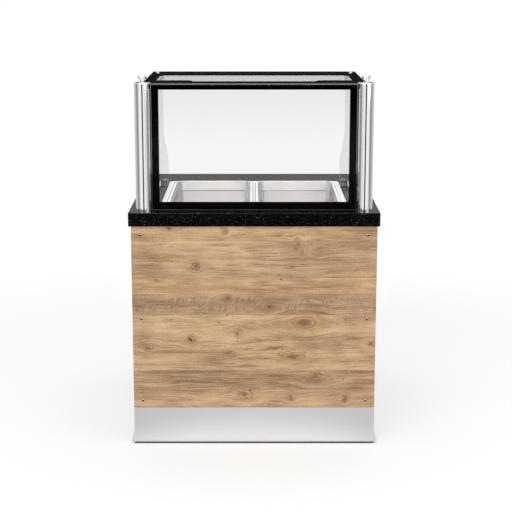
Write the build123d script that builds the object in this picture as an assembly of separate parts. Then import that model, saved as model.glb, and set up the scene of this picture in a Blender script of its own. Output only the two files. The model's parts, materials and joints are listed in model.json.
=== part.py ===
from build123d import *
import math
import os

# Bain marie buffet counter. X runs along the counter, the guest's side faces -Y, and Z is up.
# The origin is on the floor, under the middle of the worktop. All sizes are in millimetres.

# Worktop: black granite with a built-up edge
top_overhang = 9.0
top_depth = 850.0
top_height = 885.0
top_edge = 50.0
top_slab = 20.0
top_rim = 60.0
top_corner = 4.0
top_arris = 3.0

# Cabinet
body_width = 900.0
front_setback = 10.0
rear_setback = 30.0
panel_thickness = 18.0
panel_edge = 0.8
tube = 40.0
tube_wall = 2.0
tube_radius = 3.0
skin = 1.2
skin_return = 38.0
bottom_return = 14.0
foot_height = 100.0
kick_height = 139.0
kick_gap = 3.0
kick_return = 30.0
fascia_height = 200.0
fascia_gap = 1.0
fascia_margin = 2.0
shelf_lip = 15.0
shelf_gap = 1.5
shelf_rear_setback = 26.0

# Clearances
fit = 0.3
seat_gap = 0.2
shaft_fit = 0.05
thread_fit = 0.1

# Screws of the front panel
panel_screw_inset = 34.0
panel_screw_bottom_inset = 28.0
panel_screw_top_inset = 34.0
panel_screw_shank = 3.0
panel_screw_head = 6.5
panel_screw_head_height = 3.6
panel_screw_length = 30.0
panel_screw_socket = 4.0

# Levelling feet
foot_pad_gap = 1.5
foot_pad_height = 9.0
foot_stem = 8.0
foot_nut_width = 24.0
foot_nut_height = 12.0
plug_flange = 2.0
plug_depth = 22.0

# Food pans of the standard 530 x 325 plan
gn_length = 530.0
gn_width = 325.0
pan_depth = 150.0
pan_sheet = 1.0
pan_rim = 12.0
pan_rim_height = 4.5
pan_rim_corner = 44.0
pan_corner = 34.0
pan_ledge_drop = 38.0
pan_ledge = 4.0
pan_taper = 3.0
pan_bottom_radius = 16.0
pan_front_setback = 106.0
pan_middle_gap = 8.0

# Water well
well_sheet = 1.5
well_depth = 210.0
well_corner = 38.0
well_bottom_radius = 12.0
well_gap = 3.0
well_clamp_gap = 1.7
well_flange_end = 21.0
well_flange_corner = 14.0
well_hem = 3.0
well_hem_height = 1.5
well_cut_gap = 8.0
divider_drop = 20.0

# Heating element in the well
element_radius = 4.0
element_height = 26.0
element_inset_x = 70.0
element_inset_front = 60.0
element_inset_rear = 66.0
element_leg = 30.0
element_bend = 36.0
element_tail = 26.0
gland_barrel = 7.0
gland_collar = 11.0
gland_collar_height = 4.0
gland_nut_width = 19.0
gland_nut_height = 6.0

# Drain and its ball valve
drain_inset_x = 52.0
drain_inset_y = 50.0
drain_bore = 11.0
drain_thread = 16.6
drain_pipe_radius = 16.9
drain_flange = 24.0
drain_flange_height = 2.0
drain_barrel_length = 46.0
drain_nut_width = 41.0
drain_nut_height = 8.0
valve_radius = 23.0
valve_height = 74.0
valve_socket = 16.0
valve_hex = 46.0
valve_hex_height = 14.0
ball_radius = 16.0
ball_gap = 0.4
stem_radius = 5.0
stem_boss = 10.0
stem_boss_length = 12.0
lever_length = 110.0
lever_width = 18.0
lever_thickness = 2.5
lever_offset = 14.0
lever_nut_width = 13.0
lever_nut_height = 5.0
outlet_height = 60.0
outlet_thread = 20.0

# Service doors
door_thickness = 22.0
door_gap = 4.0
door_sheet = 1.2
door_liner = 1.0
door_corner = 2.0
pivot_edge = 10.0
pivot_face = 8.0
pivot_radius = 4.0
pivot_plate = 2.0
pivot_plate_size = 22.0
bush_wall = 2.0
bush_depth = 12.0
bush_flange = 8.0
bush_flange_height = 1.7
handle_centres = 128.0
handle_radius = 5.0
handle_reach = 23.0
handle_edge = 36.0
handle_drop = 60.0
catch_width = 40.0
catch_depth = 14.0
catch_height = 13.0
catch_inset = 34.0

# Controls on the service side
control_drop = 104.0
knob_x = -230.0
knob_radius = 21.0
knob_height = 20.0
knob_skirt = 26.0
knob_skirt_height = 3.0
knob_flutes = 12
knob_flute_radius = 3.2
shaft_radius = 3.0
thermostat_size = 36.0
thermostat_depth = 30.0
capillary_radius = 1.0
capillary_bend = 10.0
capillary_exit = 30.0
capillary_side = 50.0
bulb_radius = 3.0
bulb_length = 80.0
bulb_drop = 150.0
clip_wall = 0.8
clip_length = 8.0
rocker_x = -140.0
rocker_width = 17.0
rocker_height = 25.0
rocker_depth = 6.5
rocker_dish = 2.0
rocker_pin = 1.5
rocker_tilt = 10.0
switch_bezel = 3.0
switch_bezel_height = 2.0
switch_depth = 24.0
switch_wall = 1.6
lamp_x = -90.0
lamp_radius = 6.0
lamp_bezel = 9.0
lamp_bezel_height = 2.0
lamp_depth = 24.0
lamp_dome = 3.2
fascia_screw_head = 4.5
fascia_screw_head_height = 2.6
fascia_screw_shank = 2.0
fascia_screw_length = 12.0
fascia_screw_inset = 14.0
gland_end_inset = 79.0
gland_thread = 10.0
gland_cable = 5.0
gland_hex = 24.0
gland_hex_height = 6.0
gland_dome_height = 12.0
gland_inside = 16.0
terminal_gap = 55.0
terminal_length = 66.0
terminal_height = 24.0
terminal_depth = 20.0
terminal_ways = 5

# Glass hood
hood_height = 460.0
glass = 8.0
top_glass_thickness = 6.0
post_end_setback = 55.0
post_setback = 62.0
post_radius = 30.0
post_wall = 2.5
post_groove_angles = (19.5, 44.4)
post_groove_width = 1.5
post_groove_depth = 1.3
slot_depth = 10.0
slot_wall = 2.0
side_glass_lift = 4.0
side_glass_gap = 1.0
side_glass_upper_reach = 545.0
side_glass_lower_reach = 800.0
side_glass_bend_top = 205.0
side_glass_bend_bottom = 60.0
side_glass_bend_radius = 70.0
side_glass_toe_radius = 40.0
cap_height = 9.0
cap_round = 5.0
neck_radius = 9.0
neck_height = 8.0
dome_radius = 16.5
dome_height = 19.0
stud_radius = 5.0
stud_depth = 35.0

# Top glass and the black print under it
top_glass_overhang = 1.0
top_glass_front = 52.0
top_glass_rear = 572.0
top_glass_corner = 15.0
top_glass_notch_gap = 2.0
print_thickness = 0.3
print_edge = 1.0
window_side_band = 42.0
window_rear = 390.0
window_front = 185.0
window_bay_half = 224.0
window_bay_depth = 40.0
window_bay_slope = 16.0
window_corner = 36.0
front_print_side = 27.0
front_print_top = 18.0
front_print_bottom = 29.0

# Chrome clamps of the side glasses
base_clamp_setback = 545.0
base_clamp_radius = 19.0
base_clamp_height = 30.0
base_clamp_round = 4.0
base_clamp_screw = 3.0
roof_clamp_setback = 512.0
roof_clamp_length = 40.0
roof_clamp_height = 26.0
roof_clamp_round = 8.0
roof_clamp_inner = 6.0
roof_clamp_outer = 21.0
roof_clamp_bolt = 6.0
roof_screw_offset = 13.5
roof_screw_shank = 3.0
roof_screw_head = 7.5
roof_screw_head_height = 3.0
roof_screw_length = 20.0

# Places that follow from the sizes above
top_width = body_width + 2 * top_overhang
front_y = -top_depth / 2
panel_front = front_y + front_setback
frame_front = panel_front + panel_thickness
frame_rear = top_depth / 2 - rear_setback
frame_x = body_width / 2 - skin
frame_top = top_height - top_edge
opening_x = frame_x - tube
upright_x = frame_x - tube / 2
mid_rail_z = frame_top - fascia_height
shelf_z = foot_height + tube
control_z = frame_top - control_drop
fascia_front = frame_rear + skin
gland_x = opening_x - gland_end_inset
terminal_x = gland_x - gland_hex / 2 - terminal_gap - terminal_length / 2

pan_x = pan_middle_gap / 2 + gn_width / 2
pan_y = front_y + pan_front_setback + gn_length / 2
pan_body_width = gn_width - 2 * pan_rim
pan_body_length = gn_length - 2 * pan_rim
well_half_x = pan_x + pan_body_width / 2 + well_gap
well_half_y = pan_body_length / 2 + well_gap
well_floor = top_height - well_depth
well_flange_top = top_height + well_sheet
well_rear = pan_y + well_half_y
divider_half = pan_x - pan_body_width / 2 - well_gap
pan_seat = well_flange_top + seat_gap
pan_top = pan_seat + pan_rim_height

drain_x = well_half_x - drain_inset_x
drain_y = well_rear - drain_inset_y
drain_barrel_end = well_floor - well_sheet - drain_barrel_length
valve_top = drain_barrel_end + valve_socket
valve_z = valve_top - valve_height / 2
valve_bottom = valve_top - valve_height
element_z = well_floor + element_height

bulb_y = well_rear + well_sheet + bulb_radius + seat_gap
bulb_z = top_height - bulb_drop

post_x = top_width / 2 - post_end_setback
post_y = front_y + post_setback
hood_top = top_height + hood_height
glass_top = hood_top - seat_gap - print_thickness
slot_half = glass / 2 + fit
front_glass_half = post_x - post_radius + slot_depth - fit
side_glass_x = post_x - post_radius - glass / 2 - fit
top_glass_half = post_x + top_glass_overhang
window_half = top_glass_half - window_side_band
well_flange_half_x = side_glass_x - base_clamp_radius - well_clamp_gap
roof_screw_x = side_glass_x + roof_screw_offset
side_glass_bottom = top_height + side_glass_lift
cap_bottom = glass_top + seat_gap
cap_top = cap_bottom + cap_height
dome_bottom = cap_top + neck_height
roof_clamp_y = front_y + roof_clamp_setback
roof_clamp_z = glass_top - roof_clamp_height / 2 - seat_gap
roof_glass_top = hood_top + top_glass_thickness
base_clamp_y = front_y + base_clamp_setback

door_bottom = shelf_z + door_gap
door_top = mid_rail_z - door_gap
door_outer = opening_x - door_gap
door_inner = door_gap / 2
door_width = door_outer - door_inner
door_back = frame_rear - door_thickness
pivot_x = door_outer - pivot_edge
pivot_y = frame_rear - pivot_face


# Helpers


def along_x(profile, start, end):
    """Extrudes a profile drawn in (Y, Z) from X = start to X = end."""
    return extrude(Plane.YZ.offset(start) * profile, end - start)


def along_y(profile, start, end):
    """Extrudes a profile drawn in (X, Z) from Y = start to Y = end."""
    return extrude(Plane.XZ.offset(-end) * profile, end - start)


def along_z(profile, start, end):
    """Extrudes a profile drawn in (X, Y) from Z = start to Z = end."""
    return extrude(Plane.XY.offset(start) * profile, end - start)


def turned(*outline):
    """Revolves an outline of (radius, height) points about Z."""
    return revolve(Plane.XZ * make_face(Polyline(*outline, close=True)), Axis.Z)


def facing_rear(shape):
    """Turns a shape whose axis is +Z so that it points to the service side, +Y."""
    return Rot(-90, 0, 0) * shape


def hexagon(width):
    """A hexagon with the given width across its flats."""
    return RegularPolygon(width / 2, 6, major_radius=False)


def ring(outer, inner):
    return Circle(outer) - Circle(inner)


def group(*shapes):
    """Several separate solids as one node."""
    return Compound([solid for shape in shapes for solid in shape.solids()])


def left_right(shape):
    """The right-hand shape and its mirror image on the left."""
    return group(shape, mirror(shape, about=Plane.YZ))


def left_of(shape):
    return mirror(shape, about=Plane.YZ)


# Worktop and cladding


def worktop():
    slab = along_z(RectangleRounded(top_width, top_depth, top_corner), frame_top, top_height)
    slab = fillet(slab.faces().sort_by(Axis.Z)[-1].outer_wire().edges(), top_arris)
    hollow = Rectangle(top_width - 2 * top_rim, top_depth - 2 * top_rim)
    cut_x = well_half_x + well_sheet + well_cut_gap
    cut_y = well_half_y + well_sheet + well_cut_gap
    cut = Pos(0, pan_y) * RectangleRounded(2 * cut_x, 2 * cut_y, well_corner)
    slab -= along_z(hollow, frame_top, top_height - top_slab)
    slab -= along_z(cut, frame_top, top_height)
    for x in (-post_x, post_x):
        hole = Pos(x, post_y) * Circle(stud_radius + thread_fit)
        slab -= along_z(hole, top_height - stud_depth, top_height)
    return slab


def panel_screw_places():
    x = body_width / 2 - panel_screw_inset
    low = kick_height + panel_screw_bottom_inset
    high = frame_top - panel_screw_top_inset
    return [(side * x, z) for side in (-1, 1) for z in (low, (low + high) / 2, high)]


def front_panel():
    outline = Pos(0, (kick_height + frame_top) / 2) * Rectangle(body_width, frame_top - kick_height)
    board = along_y(outline, panel_front, frame_front)
    board = chamfer(board.faces().sort_by(Axis.Y)[0].edges(), panel_edge)
    for x, z in panel_screw_places():
        board -= along_y(Pos(x, z) * Circle(panel_screw_shank + fit), panel_front, frame_front)
    return board


def panel_screws():
    head = panel_screw_head
    rise = panel_screw_head_height
    dome = ThreePointArc((head, 0), (head * 0.78, rise * 0.7), (head * 0.42, rise))
    rest = Polyline((head * 0.42, rise), (0, rise), (0, 0), (head, 0))
    button = revolve(Plane.XZ * make_face(dome + rest), Axis.Z)
    button -= along_z(hexagon(panel_screw_socket), rise * 0.35, rise)
    button += along_z(Circle(panel_screw_shank), -panel_screw_length, 0)
    facing_front = Rot(90, 0, 0) * button
    return group(*[Pos(x, panel_front, z) * facing_front for x, z in panel_screw_places()])


def kick_plate():
    """A folded plate: face, top return over the panel's depth, and a flange on the bottom rail."""
    top = kick_height - seat_gap
    face = Pos(panel_front + skin / 2, (kick_gap + top) / 2) * Rectangle(skin, top - kick_gap)
    ledge = Pos((panel_front + frame_front) / 2, top - skin / 2) * Rectangle(panel_thickness, skin)
    flange = Pos(frame_front - skin / 2, top - kick_return / 2) * Rectangle(skin, kick_return)
    hem_width = bottom_return - skin
    hem = Pos(panel_front + skin + hem_width / 2, kick_gap + skin / 2) * Rectangle(hem_width, skin)
    half = body_width / 2
    plate = along_x(face + ledge + flange + hem, -half, half)
    end = Pos((panel_front + frame_front) / 2, (kick_gap + top) / 2)
    end *= Rectangle(panel_thickness, top - kick_gap)
    return plate + along_x(end, -half, -half + skin) + along_x(end, half - skin, half)


def side_panels():
    """Side sheets, each folded round the rear upright."""
    outer = body_width / 2
    rear = frame_rear + skin
    side = Pos(outer - skin / 2, (frame_front + rear) / 2) * Rectangle(skin, rear - frame_front)
    back = Pos(outer - skin_return / 2, rear - skin / 2) * Rectangle(skin_return, skin)
    return left_right(along_z(side + back, kick_gap, frame_top))


# Welded frame of square tube


def tube_profile():
    inside = tube - 2 * tube_wall
    return RectangleRounded(tube, tube, tube_radius) - Rectangle(inside, inside)


def screw_holes_in_frame():
    holes = [
        along_y(Pos(x, z) * Circle(panel_screw_shank + thread_fit), frame_front, frame_front + tube / 2)
        for x, z in panel_screw_places()
    ]
    return group(*holes)


def corner_places():
    return [
        (x, y)
        for x in (-upright_x, upright_x)
        for y in (frame_front + tube / 2, frame_rear - tube / 2)
    ]


def foot_plug():
    """The threaded plug welded into an upright's foot."""
    inside = tube - 2 * tube_wall
    plug = along_z(RectangleRounded(tube, tube, tube_radius), foot_height - plug_flange, foot_height)
    plug += along_z(Rectangle(inside, inside), foot_height, foot_height + plug_depth)
    bore = Circle(foot_stem + thread_fit)
    return plug - along_z(bore, foot_height - plug_flange, foot_height + plug_depth)


def frame_uprights():
    post = along_z(tube_profile(), foot_height, frame_top - tube) + foot_plug()
    posts = [Pos(x, y) * post for x, y in corner_places()]
    return group(*[post - screw_holes_in_frame() for post in posts])


def rail_x(half, y, z):
    return along_x(Pos(y, z + tube / 2) * tube_profile(), -half, half)


def side_rails(z):
    rail = Pos(upright_x, z + tube / 2) * tube_profile()
    return left_right(along_y(rail, frame_front + tube, frame_rear - tube))


def frame_top_rails():
    z = frame_top - tube
    front = rail_x(frame_x, frame_front + tube / 2, z) - screw_holes_in_frame()
    rear = rail_x(frame_x, frame_rear - tube / 2, z) - fascia_screw_holes()
    return group(front, rear, side_rails(z))


def frame_mid_rail():
    return rail_x(opening_x, frame_rear - tube / 2, mid_rail_z) - fascia_screw_holes()


def frame_bottom_rails():
    front = rail_x(opening_x, frame_front + tube / 2, foot_height)
    rear = rail_x(opening_x, frame_rear - tube / 2, foot_height)
    return group(front, rear, side_rails(foot_height))


def levelling_feet():
    """Feet on threaded stems, with pads that clear the cladding on both sides of each corner."""
    pad = tube / 2 - foot_pad_gap
    foot = turned(
        (0, 0),
        (pad - 2, 0),
        (pad, 2),
        (pad, foot_pad_height * 0.5),
        (foot_stem + 3, foot_pad_height),
        (foot_stem, foot_pad_height + 4),
        (foot_stem, foot_height + plug_depth - 1),
        (foot_stem - 1, foot_height + plug_depth),
        (0, foot_height + plug_depth),
    )
    return group(*[Pos(x, y, 0) * foot for x, y in corner_places()])


def foot_locknuts():
    nut = along_z(hexagon(foot_nut_width) - Circle(foot_stem + thread_fit), -foot_nut_height, 0)
    level = foot_height - plug_flange - seat_gap
    return group(*[Pos(x, y, level) * nut for x, y in corner_places()])


def base_shelf():
    """A sheet laid on the bottom rails, notched round the uprights, with upturned edges."""
    half = frame_x - shelf_gap
    front = frame_front + shelf_gap
    rear = frame_rear - shelf_rear_setback
    notch = tube + shelf_gap
    floor = Pos(0, (front + rear) / 2) * Rectangle(2 * half, rear - front)
    inner = Pos(0, (front + rear) / 2 + skin) * Rectangle(2 * (half - skin), rear - front)
    corners = Sketch()
    for x, y in corner_places():
        corners += Pos(x, y) * Rectangle(2 * notch - tube, 2 * notch - tube)
    sheet = along_z(floor, shelf_z, shelf_z + skin)
    sheet += along_z(floor - inner, shelf_z, shelf_z + shelf_lip)
    sheet -= along_z(corners, shelf_z, shelf_z + shelf_lip)
    return sheet - along_z(Pos(drain_x, drain_y) * Circle(drain_pipe_radius + fit), shelf_z, shelf_z + skin)


# Well, pans and heating


def well_outline(extra):
    return Pos(0, pan_y) * RectangleRounded(
        2 * (well_half_x + extra), 2 * (well_half_y + extra), well_corner + extra
    )


def flange_outline(inset):
    return Pos(0, pan_y) * RectangleRounded(
        2 * (well_flange_half_x - inset),
        2 * (well_half_y + well_flange_end - inset),
        well_flange_corner - inset,
    )


def element_gland_places():
    return [(side * element_leg, well_rear, element_z) for side in (-1, 1)]


def bulb_clips():
    """Spring clips welded to the well's rear wall, open at the rear, that hold the bulb."""
    clip = ring(bulb_radius + seat_gap + clip_wall, bulb_radius + seat_gap)
    clip -= Pos(bulb_radius, 0) * Rectangle(bulb_radius, bulb_radius * 1.2)
    clip = Pos(bulb_y, bulb_z) * clip
    clip -= Pos(well_rear, bulb_z) * Rectangle(2 * well_sheet, 4 * bulb_radius)
    places = [knob_x + bulb_length * share for share in (0.2, 0.7)]
    return [along_x(clip, x, x + clip_length) for x in places]


def bain_marie_well():
    shell = along_z(well_outline(well_sheet), well_floor - well_sheet, top_height)
    shell = fillet(shell.faces().sort_by(Axis.Z)[0].edges(), well_bottom_radius + well_sheet)
    water = along_z(well_outline(0), well_floor, well_flange_top)
    water = fillet(water.faces().sort_by(Axis.Z)[0].edges(), well_bottom_radius)
    shell += along_z(flange_outline(0), top_height, well_flange_top)
    hem = flange_outline(0) - flange_outline(well_hem)
    shell += along_z(hem, well_flange_top, well_flange_top + well_hem_height)
    shell -= water
    drain_hole = Pos(drain_x, drain_y) * Circle(drain_thread + thread_fit)
    shell -= along_z(drain_hole, well_floor - well_sheet, well_floor)
    for x, y, z in element_gland_places():
        shell -= along_y(Pos(x, z) * Circle(gland_barrel + thread_fit), y - 1, y + well_sheet + 1)
    for clip in bulb_clips():
        shell += clip
    return shell


def divider_bar():
    """An inverted channel across the well, on which the two pans' rims meet."""
    outer = Pos(0, well_flange_top - divider_drop / 2) * Rectangle(2 * divider_half, divider_drop)
    inside_height = divider_drop - well_sheet
    inner = Pos(0, well_flange_top - well_sheet - inside_height / 2)
    inner *= Rectangle(2 * (divider_half - well_sheet), inside_height)
    return along_y(outer - inner, pan_y - well_half_y, pan_y + well_half_y)


def pan_form(inset):
    """The pan's tapering body with its stacking ledge, made smaller all round by inset."""
    upper_size = (pan_body_width - 2 * inset, pan_body_length - 2 * inset)
    lower_size = (upper_size[0] - 2 * pan_ledge, upper_size[1] - 2 * pan_ledge)
    ledge_z = pan_top - pan_ledge_drop + inset
    bottom_z = pan_top - pan_depth + inset
    upper = along_z(RectangleRounded(*upper_size, pan_corner - inset), ledge_z, pan_top)
    downward = Plane((0, 0, ledge_z), x_dir=(1, 0, 0), z_dir=(0, 0, -1))
    lower_face = downward * RectangleRounded(*lower_size, pan_corner - pan_ledge - inset)
    lower = extrude(lower_face, ledge_z - bottom_z, taper=pan_taper)
    lower = fillet(lower.faces().sort_by(Axis.Z)[0].edges(), pan_bottom_radius - inset)
    return upper + lower


def food_pan():
    rim = RectangleRounded(gn_width, gn_length, pan_rim_corner)
    bead = pan_sheet * 1.5
    within = RectangleRounded(gn_width - 2 * bead, gn_length - 2 * bead, pan_rim_corner - bead)
    rim_sheet = along_z(rim, pan_top - pan_sheet, pan_top)
    rim_sheet = fillet(rim_sheet.faces().sort_by(Axis.Z)[-1].edges(), pan_sheet * 0.7)
    shape = pan_form(0) + rim_sheet + along_z(rim - within, pan_seat, pan_top - pan_sheet)
    return Pos(pan_x, pan_y, 0) * (shape - pan_form(pan_sheet))


def heating_element():
    """A tubular element that runs round the well's floor and ends in two cold tails."""
    side = well_half_x - element_inset_x
    front = pan_y - well_half_y + element_inset_front
    rear = well_rear - element_inset_rear
    end = well_rear + element_tail
    path = FilletPolyline(
        (element_leg, end, element_z),
        (element_leg, rear, element_z),
        (side, rear, element_z),
        (side, front, element_z),
        (-side, front, element_z),
        (-side, rear, element_z),
        (-element_leg, rear, element_z),
        (-element_leg, end, element_z),
        radius=element_bend,
    )
    section = Plane((element_leg, end, element_z), z_dir=(0, -1, 0)) * Circle(element_radius)
    return sweep(section, path)


def element_glands():
    barrel_end = well_sheet + gland_nut_height + 4
    gland = along_z(Circle(gland_barrel), 0, barrel_end)
    gland += along_z(Circle(gland_collar), -gland_collar_height, 0)
    nut_start = well_sheet
    gland += along_z(hexagon(gland_nut_width), nut_start, nut_start + gland_nut_height)
    gland -= along_z(Circle(element_radius + shaft_fit), -gland_collar_height, barrel_end)
    return group(*[Pos(*place) * facing_rear(gland) for place in element_gland_places()])


# Drain and ball valve


def drain_fitting():
    fitting = along_z(Circle(drain_thread), drain_barrel_end, well_floor)
    lip = well_floor + drain_flange_height
    fitting += along_z(Circle(drain_flange), well_floor, lip)
    fitting -= along_z(Circle(drain_bore), drain_barrel_end, lip)
    return Pos(drain_x, drain_y) * fitting


def drain_locknut():
    top = well_floor - well_sheet - seat_gap
    nut = hexagon(drain_nut_width) - Circle(drain_thread + thread_fit)
    return Pos(drain_x, drain_y) * along_z(nut, top - drain_nut_height, top)


def valve_body():
    """A body with a hexagon at each end, a ball chamber, and a boss for the stem at the rear."""
    half = valve_height / 2
    body = along_z(Circle(valve_radius), -half, half)
    body += along_z(hexagon(valve_hex), half - valve_hex_height, half)
    body += along_z(hexagon(valve_hex), -half, -half + valve_hex_height)
    boss_end = valve_radius + stem_boss_length
    body += facing_rear(along_z(Circle(stem_boss), 0, boss_end))
    body -= along_z(Circle(drain_bore), -half, half)
    socket = Circle(drain_thread + thread_fit)
    body -= along_z(socket, half - valve_socket, half)
    body -= along_z(socket, -half, -half + valve_socket)
    body -= Sphere(ball_radius + ball_gap)
    body -= facing_rear(along_z(Circle(stem_radius + shaft_fit), 0, boss_end))
    return Pos(drain_x, drain_y, valve_z) * body


def valve_ball():
    """The ball and its stem in one piece, with the bore across the pipe: the valve is shut."""
    ball = Sphere(ball_radius) - along_x(Circle(drain_bore - 1), -ball_radius, ball_radius)
    stem_end = valve_radius + stem_boss_length + lever_thickness + lever_nut_height + 3
    stem = facing_rear(along_z(Circle(stem_radius), ball_radius - 3, stem_end))
    return Pos(drain_x, drain_y, valve_z) * (ball + stem)


def drain_lever():
    """A pressed lever, cranked away from the body and rounded at its end."""
    seat = drain_y + valve_radius + stem_boss_length + seat_gap
    hub = lever_width * 0.75
    crank = hub + 16
    line = Polyline(
        (hub, seat + lever_thickness / 2),
        (-hub, seat + lever_thickness / 2),
        (-crank, seat + lever_offset + lever_thickness / 2),
        (-lever_length, seat + lever_offset + lever_thickness / 2),
    )
    strip = Pos(drain_x, 0) * trace(line, lever_thickness)
    strip = along_z(strip, valve_z - hub, valve_z + hub)
    blade = SlotCenterToCenter(lever_length, lever_width)
    plan = Circle(hub) + Pos(-lever_length / 2, 0) * blade
    reach = lever_offset + lever_thickness + 1
    lever = strip & along_y(Pos(drain_x, valve_z) * plan, seat - 1, seat + reach)
    hole = Pos(drain_x, valve_z) * Circle(stem_radius + shaft_fit)
    return lever - along_y(hole, seat - 1, seat + lever_thickness + 1)


def lever_nut():
    seat = drain_y + valve_radius + stem_boss_length + lever_thickness + 2 * seat_gap
    nut = hexagon(lever_nut_width) - Circle(stem_radius + thread_fit)
    return along_y(Pos(drain_x, valve_z) * nut, seat, seat + lever_nut_height)


def drain_pipe():
    """A pipe threaded at both ends: into the valve, and for the waste hose."""
    pipe = along_z(Circle(drain_thread), outlet_height, valve_bottom + valve_socket)
    pipe += along_z(Circle(drain_pipe_radius), outlet_height + outlet_thread, valve_bottom - seat_gap)
    pipe -= along_z(Circle(drain_bore), outlet_height, valve_bottom + valve_socket)
    return Pos(drain_x, drain_y) * pipe


# Service doors, all drawn for the right-hand door


def door_tray():
    """The folded outer skin of a door: its face and four edges."""
    centre = Pos((door_inner + door_outer) / 2, (door_bottom + door_top) / 2)
    height = door_top - door_bottom
    outer = centre * RectangleRounded(door_width, height, door_corner)
    inner = centre * Rectangle(door_width - 2 * door_sheet, height - 2 * door_sheet)
    tray = along_y(outer, door_back + door_liner, frame_rear)
    tray -= along_y(inner, door_back + door_liner, frame_rear - door_sheet)
    hole = Pos(pivot_x, pivot_y) * Circle(pivot_radius + bush_wall + shaft_fit)
    tray -= along_z(hole, door_bottom, door_bottom + door_sheet)
    tray -= along_z(hole, door_top - door_sheet, door_top)
    for side in (-1, 1):
        place = Pos(handle_x(), handle_z() + side * handle_centres / 2)
        tray -= along_y(place * Circle(2), frame_rear - door_sheet, frame_rear)
    return tray


def door_liner_sheet():
    centre = Pos((door_inner + door_outer) / 2, (door_bottom + door_top) / 2)
    sheet = centre * RectangleRounded(door_width, door_top - door_bottom, door_corner)
    return along_y(sheet, door_back, door_back + door_liner)


def handle_x():
    return door_inner + handle_edge


def handle_z():
    return door_top - handle_drop - handle_centres / 2


def catch_x():
    return door_inner + catch_inset


def door_handle():
    """A bow handle of round bar, screwed on from inside the door."""
    reach = frame_rear + handle_reach
    low = handle_z() - handle_centres / 2
    high = handle_z() + handle_centres / 2
    path = FilletPolyline(
        (handle_x(), frame_rear, low),
        (handle_x(), reach, low),
        (handle_x(), reach, high),
        (handle_x(), frame_rear, high),
        radius=handle_radius * 2.4,
    )
    section = Plane((handle_x(), frame_rear, low), z_dir=(0, 1, 0)) * Circle(handle_radius)
    return sweep(section, path)


def door_bushes():
    """Nylon bushes in the door's top and bottom edges."""
    outer = pivot_radius + bush_wall
    bush = along_z(Circle(outer), 0, bush_depth)
    bush += along_z(Circle(bush_flange), -bush_flange_height, 0)
    bush -= along_z(Circle(pivot_radius + shaft_fit), -bush_flange_height, bush_depth)
    low = Pos(pivot_x, pivot_y, door_bottom) * bush
    high = Pos(pivot_x, pivot_y, door_top) * (Rot(180, 0, 0) * bush)
    return group(low, high)


def door_pivots():
    """Pins on small plates, welded to the mid rail and the bottom rail."""
    pin_top = door_gap + bush_depth - 2
    plate = Pos(0, pivot_face - pivot_plate_size / 2) * Rectangle(pivot_plate_size, pivot_plate_size)
    pivot = along_z(plate, 0, pivot_plate) + along_z(Circle(pivot_radius), 0, pin_top)
    low = Pos(pivot_x, pivot_y, shelf_z) * pivot
    high = Pos(pivot_x, pivot_y, mid_rail_z) * (Rot(0, 180, 0) * pivot)
    return left_right(group(low, high))


def door_catches():
    """Magnetic catches under the mid rail, one for each door."""
    front = door_back - seat_gap - catch_depth
    rear = door_back - seat_gap
    centre = Pos(catch_x(), mid_rail_z - catch_height / 2 - door_gap / 2)
    case = along_y(centre * RectangleRounded(catch_width, catch_height, 2), front, rear)
    base = Pos(catch_x(), (front + rear) / 2) * Rectangle(catch_width, catch_depth)
    case += along_z(base, mid_rail_z - door_gap, mid_rail_z)
    magnet = centre * Rectangle(catch_width * 0.6, catch_height * 0.5)
    return left_right(case - along_y(magnet, rear - 1, rear))


# Controls


def fascia():
    half = opening_x + skin - fascia_gap
    low = mid_rail_z + fascia_margin
    high = frame_top - fascia_margin
    outline = Pos(0, (low + high) / 2) * Rectangle(2 * half, high - low)
    outline -= Pos(knob_x, control_z) * Circle(shaft_radius + 1)
    outline -= Pos(rocker_x, control_z) * Rectangle(*switch_opening())
    outline -= Pos(lamp_x, control_z) * Circle(lamp_radius + seat_gap)
    outline -= Pos(gland_x, control_z) * Circle(gland_thread + seat_gap)
    for x, z in fascia_screw_places():
        outline -= Pos(x, z) * Circle(fascia_screw_shank + seat_gap)
    return along_y(outline, frame_rear, fascia_front)


def fascia_screw_places():
    x = opening_x - fascia_screw_inset
    return [(side * x, z) for side in (-1, 1) for z in (mid_rail_z + tube / 2, frame_top - tube / 2)]


def fascia_screws():
    head = fascia_screw_head
    rise = fascia_screw_head_height
    screw = turned(
        (0, -fascia_screw_length),
        (fascia_screw_shank, -fascia_screw_length),
        (fascia_screw_shank, 0),
        (head, 0),
        (head * 0.85, rise * 0.65),
        (head * 0.5, rise),
        (0, rise),
    )
    slot = Rectangle(head * 1.1, 0.9) + Rectangle(0.9, head * 1.1)
    screw -= along_z(slot, rise * 0.5, rise)
    return group(*[Pos(x, fascia_front, z) * facing_rear(screw) for x, z in fascia_screw_places()])


def fascia_screw_holes():
    hole = Circle(fascia_screw_shank + thread_fit)
    start = frame_rear - tube / 2
    return group(*[along_y(Pos(x, z) * hole, start, frame_rear) for x, z in fascia_screw_places()])


def thermostat_knob():
    """A fluted knob on a thin skirt, with a pointer rib; it is drawn on its axis."""
    grip = along_z(Circle(knob_radius), knob_skirt_height, knob_height)
    grip = chamfer(grip.faces().sort_by(Axis.Z)[-1].edges(), 1.5)
    for i in range(knob_flutes):
        flute = Rot(0, 0, 360 * (i + 0.5) / knob_flutes) * Pos(knob_radius + knob_flute_radius * 0.45, 0)
        grip -= along_z(flute * Circle(knob_flute_radius), knob_skirt_height, knob_height)
    skirt = along_z(Circle(knob_skirt), 0, knob_skirt_height)
    pointer = Pos(0, knob_radius / 2) * Rectangle(2.4, knob_radius - 2)
    knob = grip + skirt + along_z(pointer, knob_height, knob_height + 1)
    knob -= along_z(Circle(shaft_radius + shaft_fit), 0, knob_height - 4)
    return Pos(knob_x, fascia_front + fit, control_z) * facing_rear(knob)


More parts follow.
